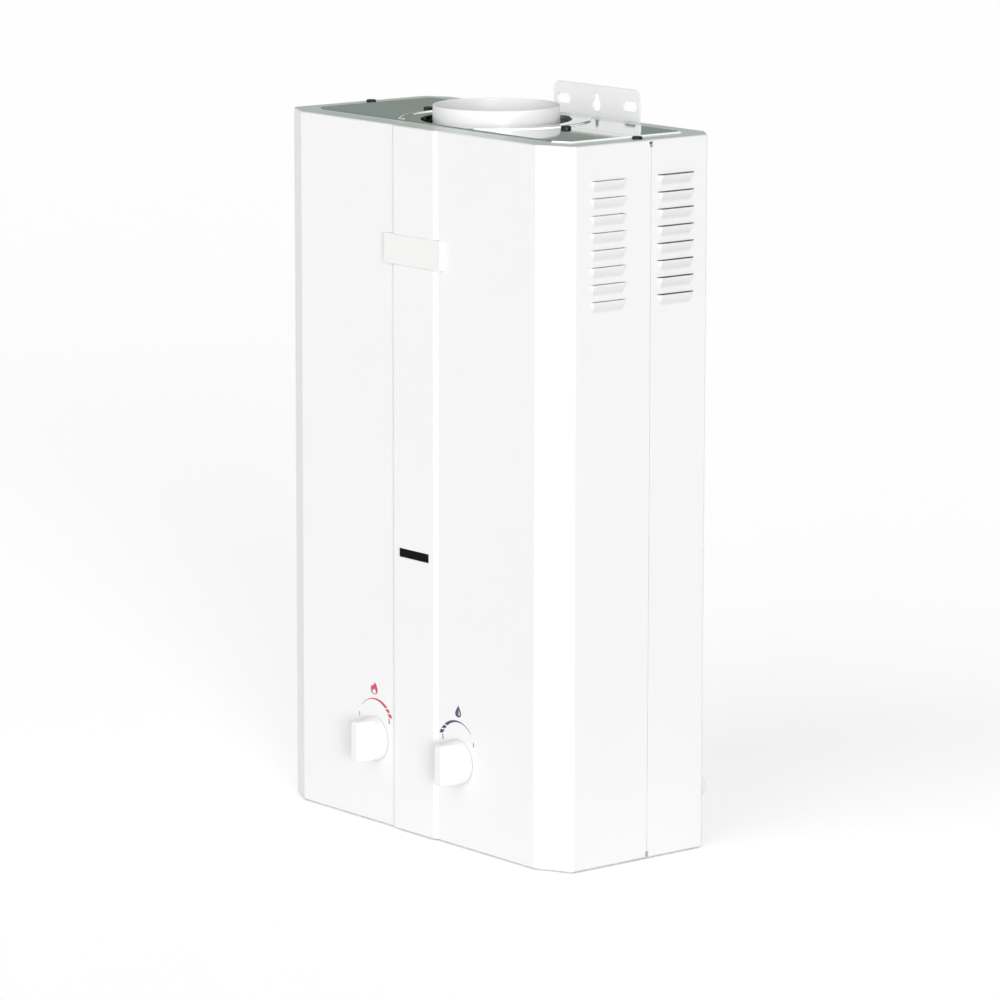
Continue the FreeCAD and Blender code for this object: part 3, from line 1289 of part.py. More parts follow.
def diaphragm_bolts():
    """Bolts through the cover and the diaphragm into the water valve."""
    bolts = []
    for depth, z in disc_bolt_places():
        place = Vector(DIAPHRAGM_COVER_LEFT, depth, z)
        head = cylinder(place, Vector(-1, 0, 0), BOLT_HEAD, BOLT_HEAD_R)
        bolts.append(joined(head, cylinder(place, X_AXIS, BOLT_LENGTH, BOLT_R)))
    return bolts


def water_valve_body():
    """Casting with the diaphragm flange, the flow tap, the inlet column and the relief arm."""
    flange_left = DIAPHRAGM_LEFT + DIAPHRAGM_THICK
    flange = cylinder(Vector(flange_left, ROD_DEPTH, ROD_Z), X_AXIS, WATER_FLANGE, DISC_R)
    neck = cylinder(Vector(flange_left, ROD_DEPTH, ROD_Z), X_AXIS, COLD_X - flange_left, WATER_NECK_R)
    column = cylinder(Vector(COLD_X, ROD_DEPTH, VALVE_BOTTOM), Z_AXIS, COLUMN_TOP - VALVE_BOTTOM, COLUMN_R)
    tap = cylinder(Vector(KNOB_X, VALVE_FRONT, KNOB_Z), Y_AXIS, ROD_DEPTH + PLUG_R - VALVE_FRONT, TAP_BARREL_R)
    boss = cylinder(Vector(COLD_X, ROD_DEPTH, WATER_OUT_Z), X_AXIS, WATER_BOSS_END - COLD_X, WATER_BOSS_R)
    arm = cylinder(Vector(COLD_X, ROD_DEPTH, RELIEF_ARM_Z), X_AXIS, RELIEF_X - COLD_X, RELIEF_ARM_R)
    drop = cylinder(Vector(RELIEF_X, ROD_DEPTH, RELIEF_BOSS_BOTTOM), Z_AXIS,
                    RELIEF_ARM_Z + RELIEF_ARM_R - RELIEF_BOSS_BOTTOM, RELIEF_BOSS_R)
    body = joined(flange, neck, column, tap, boss, arm, drop)
    cavity = cylinder(Vector(flange_left - OVER, ROD_DEPTH, ROD_Z), X_AXIS, WATER_FLANGE - COVER_WALL + OVER,
                      DISC_CAVITY_R)
    way = cylinder(Vector(flange_left, ROD_DEPTH, ROD_Z), X_AXIS, COLD_X - flange_left, PLUG_R)
    inlet = cylinder(Vector(COLD_X, ROD_DEPTH, VALVE_BOTTOM - OVER), Z_AXIS, ROD_Z - VALVE_BOTTOM, WATER_BORE_R)
    socket = cylinder(Vector(WATER_BOSS_END - 2 * OVER, ROD_DEPTH, WATER_OUT_Z), X_AXIS,
                      COLUMN_R + WATER_BOSS_R, TUBE_R + FIN_HOLE)
    outlet = cylinder(Vector(COLD_X, ROD_DEPTH, WATER_OUT_Z), X_AXIS, COLUMN_R, TUBE_R - TUBE_WALL)
    return less(body, plug_bore(KNOB_X), cavity, way, inlet, outlet, socket, *disc_bolt_holes())


def relief_valve():
    """Safety valve under the relief arm, with a ribbed cap that can be turned by hand to drain."""
    stem = cylinder(Vector(RELIEF_X, ROD_DEPTH, RELIEF_CAP_TOP), Z_AXIS, RELIEF_BOSS_BOTTOM - RELIEF_CAP_TOP,
                    RELIEF_R)
    cap = cylinder(Vector(RELIEF_X, ROD_DEPTH, RELIEF_CAP_BOTTOM), Z_AXIS, RELIEF_CAP_TOP - RELIEF_CAP_BOTTOM,
                   RELIEF_CAP_R)
    grips = []
    for i in range(RELIEF_GRIPS):
        turn = 2 * math.pi * i / RELIEF_GRIPS
        x = RELIEF_X + RELIEF_CAP_R * math.cos(turn)
        y = ROD_DEPTH + RELIEF_CAP_R * math.sin(turn)
        grips.append(cylinder(Vector(x, y, RELIEF_CAP_BOTTOM - OVER), Z_AXIS, RELIEF_CAP_TOP, RELIEF_GRIP_R))
    return less(joined(stem, cap), *grips)


def valve_bridge():
    """Bent plate between the two valves, which carries the switch."""
    left = GAS_RIGHT
    right = DIAPHRAGM_COVER_LEFT
    back = BRIDGE_START + BRIDGE_SHEET
    plate = box(left, right, BRIDGE_START, back, BRIDGE_BOTTOM, BRIDGE_TOP)
    flanges = []
    for x0, x1 in ((left, left + BRIDGE_SHEET), (right - BRIDGE_SHEET, right)):
        flanges.append(box(x0, x1, BRIDGE_START, back + BRIDGE_FLANGE, BRIDGE_BOTTOM, BRIDGE_FLANGE_TOP))
    return joined(plate, *flanges)


def micro_switch():
    """Switch body with two ears for the lever's pin and two flat terminals."""
    front = BRIDGE_START - SWITCH_DEEP
    right = SWITCH_LEFT + SWITCH_LENGTH
    body = box(SWITCH_LEFT, right, front, BRIDGE_START, SWITCH_BOTTOM, SWITCH_BOTTOM + SWITCH_TALL)
    added = []
    for start in (front, BRIDGE_START - SWITCH_EAR):
        ear = box(LEVER_PIVOT_X - SWITCH_EAR_HALF, LEVER_PIVOT_X + SWITCH_EAR_HALF, start, start + SWITCH_EAR,
                  LEVER_PIVOT_Z - SWITCH_EAR_HALF, SWITCH_BOTTOM)
        added.append(ear)
    for share in (0.25, 0.75):
        x = SWITCH_LEFT + share * SWITCH_LENGTH
        middle = BRIDGE_START - SWITCH_DEEP / 2
        added.append(box(x, x + SWITCH_BLADE_THICK, middle - SWITCH_BLADE_WIDTH, middle + SWITCH_BLADE_WIDTH,
                         SWITCH_BOTTOM + SWITCH_TALL, SWITCH_BOTTOM + SWITCH_TALL + SWITCH_BLADE_HEIGHT))
    hole = cylinder(Vector(LEVER_PIVOT_X, front - OVER, LEVER_PIVOT_Z), Y_AXIS, SWITCH_DEEP + 2 * OVER,
                    LEVER_PIN_R + RUNNING)
    return joined(body, *added).cut(hole)


def switch_lever():
    """Lever on its pin, with a tip bent down to the rod."""
    front = BRIDGE_START - SWITCH_DEEP
    middle = BRIDGE_START - SWITCH_DEEP / 2
    y0 = middle - LEVER_WIDTH / 2
    y1 = middle + LEVER_WIDTH / 2
    pin = cylinder(Vector(LEVER_PIVOT_X, front + SMALL_GAP, LEVER_PIVOT_Z), Y_AXIS, SWITCH_DEEP - 2 * SMALL_GAP,
                   LEVER_PIN_R)
    eye = cylinder(Vector(LEVER_PIVOT_X, y0, LEVER_PIVOT_Z), Y_AXIS, LEVER_WIDTH, LEVER_EYE_R)
    blade = box(LEVER_PIVOT_X, LEVER_TIP_X, y0, y1, LEVER_PIVOT_Z - LEVER_THICK / 2,
                LEVER_PIVOT_Z + LEVER_THICK / 2)
    tip = box(LEVER_TIP_X - LEVER_THICK, LEVER_TIP_X, y0, y1, ROD_Z + ROD_R + SMALL_GAP, LEVER_PIVOT_Z)
    return joined(pin, eye, blade, tip)


def solenoid_coil():
    """Coil of the safety valve, behind the tap."""
    coil = cylinder(Vector(-KNOB_X, TAP_BARREL_END, KNOB_Z), Y_AXIS, SOLENOID_END - TAP_BARREL_END, SOLENOID_R)
    bore = cylinder(Vector(-KNOB_X, TAP_BARREL_END - OVER, KNOB_Z), Y_AXIS,
                    SOLENOID_BORE_END - TAP_BARREL_END + OVER, PLUNGER_R + RUNNING)
    return coil.cut(bore)


def solenoid_plunger():
    """Sliding core of the safety valve."""
    return cylinder(Vector(-KNOB_X, PLUNGER_START, KNOB_Z), Y_AXIS, PLUNGER_END - PLUNGER_START, PLUNGER_R)


def fitting(x, depth, radius, bore, flats, top):
    """Threaded connection with a hexagonal collar that stands on its gasket."""
    pipe = cylinder(Vector(x, depth, FITTING_BOTTOM), Z_AXIS, top - FITTING_BOTTOM, radius)
    collar = hexagon(Vector(x, depth, BASE_Z + GASKET), Z_AXIS, COLLAR_HEX, flats, 0)
    hole = cylinder(Vector(x, depth, FITTING_BOTTOM - OVER), Z_AXIS, top - FITTING_BOTTOM + 2 * OVER, bore)
    groove = tube_bar(Vector(x, depth, nut_bottom() - UNDERCUT_WIDTH), Z_AXIS, UNDERCUT_WIDTH, radius + OVER,
                      radius - UNDERCUT)
    return less(joined(pipe, collar), hole, groove)


def nut_bottom():
    """Lower face of the nuts under the base plate."""
    return BASE_Z - SHEET - NUT_GAP - NUT_THICK


def gas_inlet_fitting():
    """Gas connection."""
    return fitting(GAS_INLET_X, ROD_DEPTH, GAS_THREAD_R, GAS_BORE_R, GAS_FLATS, VALVE_BOTTOM)


def cold_inlet_fitting():
    """Cold water connection."""
    return fitting(COLD_X, ROD_DEPTH, WATER_THREAD_R, WATER_BORE_R, WATER_FLATS, VALVE_BOTTOM)


def hot_outlet_fitting():
    """Hot water connection, with the tube's end in its bore."""
    body = fitting(HOT_X, HOT_DEPTH, WATER_THREAD_R, TUBE_R - TUBE_WALL, WATER_FLATS, HOT_FITTING_TOP)
    socket = cylinder(Vector(HOT_X, HOT_DEPTH, HOT_FITTING_TOP - 2 * OVER - SMALL_GAP), Z_AXIS, 4 * OVER,
                      TUBE_R + FIN_HOLE)
    return body.cut(socket)


def fitting_nuts():
    """Nuts that clamp the three connections from below."""
    nuts = []
    for x, depth, radius, flats in (
        (GAS_INLET_X, ROD_DEPTH, GAS_THREAD_R, GAS_FLATS),
        (COLD_X, ROD_DEPTH, WATER_THREAD_R, WATER_FLATS),
        (HOT_X, HOT_DEPTH, WATER_THREAD_R, WATER_FLATS),
    ):
        nuts.append(hexagon(Vector(x, depth, nut_bottom()), Z_AXIS, NUT_THICK, flats, radius + NUT_GAP))
    return nuts


def fitting_gaskets():
    """Flat rubber rings between the collars and the base plate."""
    rings = []
    for x, depth, radius, flats in (
        (GAS_INLET_X, ROD_DEPTH, GAS_THREAD_R, GAS_FLATS),
        (COLD_X, ROD_DEPTH, WATER_THREAD_R, WATER_FLATS),
        (HOT_X, HOT_DEPTH, WATER_THREAD_R, WATER_FLATS),
    ):
        rings.append(tube_bar(Vector(x, depth, BASE_Z), Z_AXIS, GASKET, flats / 2, radius + NUT_GAP))
    return rings


def inlet_filter():
    """Cup-shaped strainer inside the cold water connection."""
    body = cylinder(Vector(COLD_X, ROD_DEPTH, FILTER_BOTTOM), Z_AXIS, FILTER_TOP - FILTER_BOTTOM, FILTER_R)
    hollow = cylinder(Vector(COLD_X, ROD_DEPTH, FILTER_BOTTOM - OVER), Z_AXIS,
                      FILTER_TOP - FILTER_BOTTOM - FILTER_WALL + OVER, FILTER_R - FILTER_WALL)
    slots = []
    for i in range(3):
        slot = box(COLD_X - FILTER_RIM / 2, COLD_X + FILTER_RIM / 2, ROD_DEPTH - FILTER_R - OVER,
                   ROD_DEPTH + FILTER_R + OVER, FILTER_BOTTOM + 2 * FILTER_RIM, FILTER_TOP - 2 * FILTER_RIM)
        slot.rotate(Vector(COLD_X, ROD_DEPTH, 0), Z_AXIS, 60 * i)
        slots.append(slot)
    return less(body, hollow, *slots)


def union_nuts():
    """Nuts on the ends of the water tube and of the gas pipe."""
    return [
        hexagon(Vector(WATER_BOSS_END, ROD_DEPTH, WATER_OUT_Z), X_AXIS, WATER_UNION_LENGTH, UNION_FLATS,
                TUBE_R + NUT_GAP),
        hexagon(Vector(HOT_X, HOT_DEPTH, HOT_FITTING_TOP), Z_AXIS, UNION_LENGTH, UNION_FLATS,
                TUBE_R + NUT_GAP),
        hexagon(Vector(GAS_OUTLET_X, ROD_DEPTH, GAS_OUTLET_TOP), Z_AXIS, GAS_UNION_LENGTH, GAS_UNION_FLATS,
                GAS_PIPE_R + NUT_GAP),
    ]


def ignition_module():
    """Moulded box on the back panel, with screw ears and the stub of its high voltage outlet."""
    back = REAR_INSIDE
    outer = Part.makeLoft([
        Part.makePolygon([Vector(x, back, z) for x, z in module_corners(0)]),
        Part.makePolygon([Vector(x, MODULE_FRONT, z) for x, z in module_corners(MODULE_DRAFT)]),
    ], True, True)
    ears = box(MODULE_LEFT - MODULE_EAR, MODULE_RIGHT + MODULE_EAR, back - MODULE_EAR_THICK, back,
               MODULE_BOTTOM + MODULE_EAR, MODULE_TOP - MODULE_EAR)
    stub = cylinder(Vector(MODULE_RIGHT - 2 * MODULE_EAR, MODULE_FRONT + OVER, MODULE_TOP - 2 * MODULE_EAR),
                    Vector(0, -1, 0), MODULE_STUB, MODULE_STUB_R)
    return joined(outer, ears, stub)


def module_corners(distance):
    """Corners of the ignition module, moved inwards, as X and Z."""
    return [
        (MODULE_LEFT + distance, MODULE_BOTTOM + distance),
        (MODULE_RIGHT - distance, MODULE_BOTTOM + distance),
        (MODULE_RIGHT - distance, MODULE_TOP - distance),
        (MODULE_LEFT + distance, MODULE_TOP - distance),
        (MODULE_LEFT + distance, MODULE_BOTTOM + distance),
    ]


def battery_box():
    """Moulded box for two cells, open below, with a flange under the base plate and two hinge lugs."""
    top_of_flange = BASE_Z - SHEET
    flange_bottom = top_of_flange - BOX_FLANGE_THICK
    body = box(BOX_LEFT, BOX_RIGHT, BOX_START, BOX_END, flange_bottom, BOX_TOP)
    flange = box(BOX_LEFT - BOX_FLANGE, BOX_RIGHT + BOX_FLANGE, BOX_START - BOX_FLANGE, BOX_END + BOX_FLANGE,
                 flange_bottom, top_of_flange)
    lugs = []
    for start in lug_starts():
        eye = cylinder(Vector(HINGE_X, start, hinge_z()), Y_AXIS, HINGE_LUG, HINGE_EYE_R)
        stem = box(HINGE_X - HINGE_EYE_R, HINGE_X + HINGE_EYE_R, start, start + HINGE_LUG, hinge_z(),
                   flange_bottom + SMALL_GAP)
        lugs += [eye, stem]
    hollow = box(BOX_LEFT + BOX_WALL, BOX_RIGHT - BOX_WALL, BOX_START + BOX_WALL, BOX_END - BOX_WALL,
                 flange_bottom - OVER, BOX_TOP - BOX_WALL)
    pin_hole = cylinder(Vector(HINGE_X, BOX_START - BOX_FLANGE - OVER, hinge_z()), Y_AXIS,
                        BOX_END - BOX_START + 2 * BOX_FLANGE + 2 * OVER, HINGE_PIN_R + RUNNING)
    return less(joined(body, flange, *lugs), hollow, pin_hole)


def hinge_z():
    """Height of the battery door's hinge pin."""
    return BASE_Z - SHEET - BOX_FLANGE_THICK - DOOR_GAP - HINGE_EYE_R


def lug_starts():
    """Where the two hinge lugs of the battery box begin."""
    return (BOX_START + HINGE_LUG_INSET, BOX_END - HINGE_LUG_INSET - HINGE_LUG)


def battery_door():
    """Lid of the battery box: plate, knuckle round the pin, stiffening ribs and a snap at the free edge."""
    top = BASE_Z - SHEET - BOX_FLANGE_THICK - DOOR_GAP
    first, second = lug_starts()
    right = BOX_RIGHT + BOX_FLANGE
    plate = box(HINGE_X + HINGE_EYE_R + DOOR_GAP, right + DOOR_GAP + DOOR_LATCH, BOX_START - BOX_FLANGE,
                BOX_END + BOX_FLANGE, top - DOOR_THICK, top)
    start = first + HINGE_LUG + DOOR_GAP
    end = second - DOOR_GAP
    knuckle = cylinder(Vector(HINGE_X, start, hinge_z()), Y_AXIS, end - start, HINGE_EYE_R)
    web = box(HINGE_X, HINGE_X + HINGE_EYE_R + 2 * DOOR_GAP, start, end, top - DOOR_THICK, top)
    middle = (BOX_START + BOX_END) / 2
    latch = box(right + DOOR_GAP, right + DOOR_GAP + DOOR_LATCH, middle - DOOR_LATCH_LENGTH / 2,
                middle + DOOR_LATCH_LENGTH / 2, top - DOOR_THICK, top + DOOR_GAP + BOX_FLANGE_THICK - SMALL_GAP)
    ribs = []
    for i in range(5):
        x = BOX_LEFT + HINGE_LUG + i * HINGE_LUG
        ribs.append(box(x, x + DOOR_RIB, BOX_START, BOX_END, top - DOOR_THICK - DOOR_RIB, top - DOOR_THICK))
    hole = cylinder(Vector(HINGE_X, start - OVER, hinge_z()), Y_AXIS, end - start + 2 * OVER,
                    HINGE_PIN_R + RUNNING)
    return joined(plate, knuckle, web, latch, *ribs).cut(hole)


def door_contact():
    """Metal plate on the door, which joins the two cells."""
    x = (BOX_LEFT + BOX_RIGHT) / 2
    y = (BOX_START + BOX_END) / 2
    bottom = BASE_Z - SHEET - BOX_FLANGE_THICK - DOOR_GAP
    return box(x - CONTACT_HALF_X, x + CONTACT_HALF_X, y - CONTACT_HALF_Y, y + CONTACT_HALF_Y, bottom,
               CELL_BOTTOM - SMALL_GAP)


def battery_hinge_pin():
    """Steel pin through the lugs and the door's knuckle."""
    first, second = lug_starts()
    return cylinder(Vector(HINGE_X, first, hinge_z()), Y_AXIS, second + HINGE_LUG - first, HINGE_PIN_R)


def cell_depths():
    """Depths of the two cells."""
    middle = (BOX_START + BOX_END) / 2
    return (middle - CELL_PITCH / 2, middle + CELL_PITCH / 2)


def battery_cells():
    """Two round cells, side by side."""
    cells = []
    x = (BOX_LEFT + BOX_RIGHT) / 2
    for depth in cell_depths():
        can = cylinder(Vector(x, depth, CELL_BOTTOM), Z_AXIS, CELL_HEIGHT - CELL_EDGE, CELL_R)
        shoulder = cone(Vector(x, depth, CELL_BOTTOM + CELL_HEIGHT - CELL_EDGE), Z_AXIS, CELL_EDGE, CELL_R,
                        CELL_R - CELL_EDGE)
        nub = cylinder(Vector(x, depth, CELL_BOTTOM + CELL_HEIGHT), Z_AXIS, CELL_NUB, CELL_NUB_R)
        cells.append(joined(can, shoulder, nub))
    return cells


def battery_contacts():
    """Cup-shaped contact above each cell."""
    contacts = []
    x = (BOX_LEFT + BOX_RIGHT) / 2
    bottom = CELL_BOTTOM + CELL_HEIGHT + CELL_NUB + SMALL_GAP
    for depth in cell_depths():
        contacts.append(cone(Vector(x, depth, bottom), Z_AXIS, BOX_TOP - BOX_WALL - bottom, CELL_NUB_R,
                             2 * CELL_NUB_R))
    return contacts


def plate_on_wall(points, radii, start, thick):
    """Flat plate parallel to the back panel, from X and Z corners."""
    corners = [Vector(x, start, z) for x, z in points]
    return Part.Face(rounded(corners, radii)).extrude(Vector(0, thick, 0))


def slot_tool(x, z, length, radius):
    """Obround cutter through the wall bracket, along X."""
    start = WALL_DEPTH - BRACKET_SHEET - OVER
    deep = BRACKET_SHEET + 2 * OVER
    reach = length / 2 - radius
    ends = [cylinder(Vector(x + side * reach, start, z), Y_AXIS, deep, radius) for side in (-1, 1)]
    return joined(box(x - reach, x + reach, start, start + deep, z - radius, z + radius), *ends)


def wall_bracket():
    """Hanging plate that stands off the back panel on two webs with feet."""
    front = WALL_DEPTH - BRACKET_SHEET
    plate = plate_on_wall([(-BRACKET_HALF, BRACKET_BOTTOM), (BRACKET_HALF, BRACKET_BOTTOM),
                           (BRACKET_HALF, BRACKET_TOP), (-BRACKET_HALF, BRACKET_TOP)],
                          [BRACKET_SHEET, BRACKET_SHEET, BRACKET_CORNER, BRACKET_CORNER], front, BRACKET_SHEET)
    added = []
    for side in (-1, 1):
        outer = side * BRACKET_HALF
        inner = side * (BRACKET_HALF - BRACKET_SHEET)
        foot = side * (BRACKET_HALF + BRACKET_FOOT)
        added.append(box(min(outer, inner), max(outer, inner), CASE_DEPTH, WALL_DEPTH - SMALL_GAP,
                         BRACKET_BOTTOM + BRACKET_SHEET, BRACKET_WEB_TOP))
        added.append(box(min(inner, foot), max(inner, foot), CASE_DEPTH, CASE_DEPTH + BRACKET_SHEET,
                         BRACKET_BOTTOM + BRACKET_SHEET, BRACKET_WEB_TOP))
    tools = []
    for side in (-1, 1):
        tools.append(slot_tool(side * BRACKET_SLOT_SPACING / 2, BRACKET_SLOT_Z, BRACKET_SLOT_LENGTH,
                               BRACKET_SLOT_R))
    through = BRACKET_SHEET + 2 * OVER
    tools.append(cylinder(Vector(0, front - OVER, KEYHOLE_Z), Y_AXIS, through, KEYHOLE_R))
    tools.append(cylinder(Vector(0, front - OVER, KEYHOLE_NECK_Z), Y_AXIS, through, KEYHOLE_NECK_R))
    tools.append(box(-KEYHOLE_NECK_R, KEYHOLE_NECK_R, front - OVER, WALL_DEPTH + OVER, KEYHOLE_Z,
                     KEYHOLE_NECK_Z))
    for x, z in bracket_screw_places():
        tools.append(cylinder(Vector(x, CASE_DEPTH - OVER, z), Y_AXIS, through, SCREW_HOLE_R))
    return less(joined(plate, *added), *tools)


def wall_spacers():
    """Rubber buffers that keep the lower back parallel to the wall."""
    buffers = []
    for side in (-1, 1):
        place = Vector(side * SPACER_X, CASE_DEPTH, SPACER_Z)
        straight = WALL_GAP - SPACER_EDGE
        body = cylinder(place, Y_AXIS, straight, SPACER_R)
        end = cone(place + Y_AXIS * straight, Y_AXIS, SPACER_EDGE, SPACER_R, SPACER_R - SPACER_EDGE)
        buffers.append(joined(body, end))
    return buffers


def gas_knob():
    """Left knob."""
    return knob(-KNOB_X)


def water_knob():
    """Right knob."""
    return knob(KNOB_X)


def gas_spindle():
    """Left spindle."""
    return spindle(-KNOB_X)


def water_spindle():
    """Right spindle."""
    return spindle(KNOB_X)


def spark_electrode():
    """Right probe, which lights the burner."""
    return probe(PROBE_X)


def flame_sensor():
    """Left probe, which senses the flame."""
    return probe(-PROBE_X)


PIECES = [
    front_cover, rear_case, top_front_plate, top_rear_plate, top_screws, base_tray, case_screws,
    wall_bracket, bracket_screws, wall_spacers, badge_plate, sight_window,
    gas_knob, water_knob, gas_spindle, water_spindle, gland_nuts,
    gas_valve_body, gas_valve_cap, gas_valve_spring, push_rod, diaphragm, diaphragm_cover, diaphragm_bolts,
    water_valve_body, relief_valve, valve_bridge, micro_switch, switch_lever, solenoid_coil,
    solenoid_plunger, gas_inlet_fitting, cold_inlet_fitting, hot_outlet_fitting, fitting_nuts,
    fitting_gaskets, inlet_filter, union_nuts, gas_pipe, gas_manifold, gas_nozzles, burner_tray,
    burner_bars, spark_electrode, flame_sensor, combustion_chamber, exchanger_tube, exchanger_fins,
    chamber_brackets, heat_shield, flue_hood, flue_collar, overheat_thermostat, ignition_module,
    battery_box, battery_door, door_contact, battery_hinge_pin, battery_cells, battery_contacts,
]


def write(piece):
    """Moves a piece to its place in the object's frame and writes it."""
    shape = piece()
    solids = []
    for item in shape if isinstance(shape, list) else [shape]:
        solids += item.Solids
    whole = solids[0] if len(solids) == 1 else Part.makeCompound(solids)
    whole.translate(Vector(0, FRONT_Y, 0))
    whole.exportStep(os.path.join("parts", piece.__name__ + ".step"))
    return len(solids)


def main():
    os.makedirs("parts", exist_ok=True)
    for piece in PIECES:
        print(piece.__name__, write(piece))


main()
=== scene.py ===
import math

import bmesh
import bpy
from bpy.props import FloatProperty, FloatVectorProperty, IntProperty, PointerProperty
from mathutils import Matrix, Quaternion, Vector


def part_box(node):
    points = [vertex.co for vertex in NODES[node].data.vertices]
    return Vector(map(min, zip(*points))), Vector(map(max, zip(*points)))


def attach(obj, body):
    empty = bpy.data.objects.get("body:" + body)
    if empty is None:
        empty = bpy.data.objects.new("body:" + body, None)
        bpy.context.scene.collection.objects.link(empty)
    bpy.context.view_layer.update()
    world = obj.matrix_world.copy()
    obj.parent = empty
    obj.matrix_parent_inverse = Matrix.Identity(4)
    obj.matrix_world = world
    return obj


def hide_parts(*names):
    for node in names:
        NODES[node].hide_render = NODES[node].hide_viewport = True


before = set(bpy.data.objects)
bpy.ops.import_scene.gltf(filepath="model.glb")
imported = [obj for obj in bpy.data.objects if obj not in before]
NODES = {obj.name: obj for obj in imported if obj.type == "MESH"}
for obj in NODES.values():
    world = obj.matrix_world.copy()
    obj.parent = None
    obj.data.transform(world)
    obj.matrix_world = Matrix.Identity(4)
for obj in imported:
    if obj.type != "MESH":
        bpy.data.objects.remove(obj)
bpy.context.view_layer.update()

bl_info = {
    "name": "Portable gas water heater",
    "version": (1, 0, 0),
    "blender": (4, 5, 0),
    "location": "3D View > Sidebar > Water heater",
    "description": "Finishes and details a wall-hung propane water heater",
    "category": "Object",
}

MM = 0.001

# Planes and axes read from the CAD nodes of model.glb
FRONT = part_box("badge_plate")[1][1]                     # front face of the panel
BEAD_RISE = 1.9 * MM                                    # the lid's bead over its border
LID_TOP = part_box("top_rear_plate")[1][2] - BEAD_RISE    # the lid's border
HALF_WIDTH = 151.15 * MM                                # the casing without its louvres
HALF_DEPTH = 69.0 * MM
CASE_MIDDLE_Y = -2.1 * MM
KNOB_Z = (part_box("gas_knob")[0][2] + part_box("gas_knob")[1][2]) / 2
GAS_X = (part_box("gas_knob")[0][0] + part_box("gas_knob")[1][0]) / 2
WATER_X = (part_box("water_knob")[0][0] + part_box("water_knob")[1][0]) / 2

# Prints: angles of the arc's two ends and of the gaps in it, in degrees, and the numbers' places
ARC_TIP = 138.0
ARC_END = 26.0
ARC_GAPS = ((33.5, 36.5), (44.5, 47.5))
ICON_STRETCH = 1.35
FIGURE_REACH = 16.5 * MM
FIGURE_RISE = 14.4 * MM

# Screws: the head in the CAD, and the modelled head, shank and recess
CAD_HEAD = 2.2 * MM
HEAD_RADIUS = 3.5 * MM
HEAD_HEIGHT = 1.9 * MM
HEAD_ROUND = 1.2 * MM
SHANK_RADIUS = 1.6 * MM
SHANK_LENGTH = 6.0 * MM
RECESS_RADIUS = 2.6 * MM
RECESS_POINT = 0.5 * MM
RECESS_MIDDLE = 1.3 * MM
RECESS_ARM = 0.26

# Stage: the floor, and the room that the camera and polished metal see
FLOOR_SIZE = 60.0
FLOOR_DROP = 0.2 * MM
FLOOR_GREY = (0.9, 0.9, 0.9, 1)
FLOOR_GLOW = 0.35
GLOW_EDGE = 4 * MM
CORNER_CUT = 25 * MM
WHITE = (1, 1, 1)
GREY = (0.25, 0.285, 0.265)
ROOM = ((0.0, WHITE), (0.20, WHITE), (0.24, GREY), (0.62, GREY), (0.78, WHITE), (1.0, WHITE))

# The grey band starts lower in the one direction that the lid mirrors in the photo
MIRRORED_X, MIRRORED_Y = -0.773, 0.635
SECTOR_START = 0.86
SECTOR_SOFTNESS = 0.06
SECTOR_DROP = 0.155


# Shader maths

class Value:
    """A number worked out by a material's nodes. Sums and products of values add their Math nodes."""

    def __init__(self, tree, socket):
        self.tree = tree
        self.socket = socket

    def combine(self, operation, first, second=None):
        """Adds a Math node with its inputs."""
        node = self.tree.nodes.new("ShaderNodeMath")
        node.operation = operation
        for socket, value in zip(node.inputs, (first, second)):
            if isinstance(value, Value):
                self.tree.links.new(value.socket, socket)
            elif value is not None:
                socket.default_value = value
        return Value(self.tree, node.outputs[0])

    def __add__(self, other):
        return self.combine("ADD", self, other)

    def __radd__(self, other):
        return self.combine("ADD", other, self)

    def __sub__(self, other):
        return self.combine("SUBTRACT", self, other)

    def __rsub__(self, other):
        return self.combine("SUBTRACT", other, self)

    def __mul__(self, other):
        return self.combine("MULTIPLY", self, other)

    def __rmul__(self, other):
        return self.combine("MULTIPLY", other, self)

    def __truediv__(self, other):
        return self.combine("DIVIDE", self, other)

    def __abs__(self):
        return self.combine("ABSOLUTE", self)

    def limited(self):
        """The value kept between 0 and 1."""
        value = self.combine("ADD", self, 0.0)
        value.socket.node.use_clamp = True
        return value


class Nodes:
    """The nodes of a material or of the world."""

    def __init__(self, tree):
        self.tree = tree

    def node(self, kind, settings=None, values=None, out=0):
        """Adds one node with its settings, and its sockets' values or links. Gives one of its outputs."""
        node = self.tree.nodes.new(kind)
        for name, setting in (settings or {}).items():
            if name == "stops":
                elements = node.color_ramp.elements
                while len(elements) < len(setting):
                    elements.new(1.0)
                for element, (position, colour) in zip(elements, setting):
                    element.position = position
                    element.color = (*colour, 1)
            else:
                setattr(node, name, setting)
        for name, value in (values or {}).items():
            if isinstance(value, Value):
                self.tree.links.new(value.socket, node.inputs[name])
            else:
                node.inputs[name].default_value = value
        return Value(self.tree, node.outputs[out])

    def part(self, place, letter):
        """One coordinate of a place or of a direction."""
        return self.node("ShaderNodeSeparateXYZ", {}, {"Vector": place}, letter)

    def seen_by(self, *kinds):
        """1 for the named kinds of ray, and 0 for others."""
        seen, *others = [self.node("ShaderNodeLightPath", out="Is " + kind + " Ray") for kind in kinds]
        for other in others:
            seen = seen.combine("MAXIMUM", seen, other)
        return seen

    def finish_with(self, shader, output):
        """Links the last shader to the output."""
        self.tree.links.new(shader.socket, self.tree.nodes[output].inputs["Surface"])


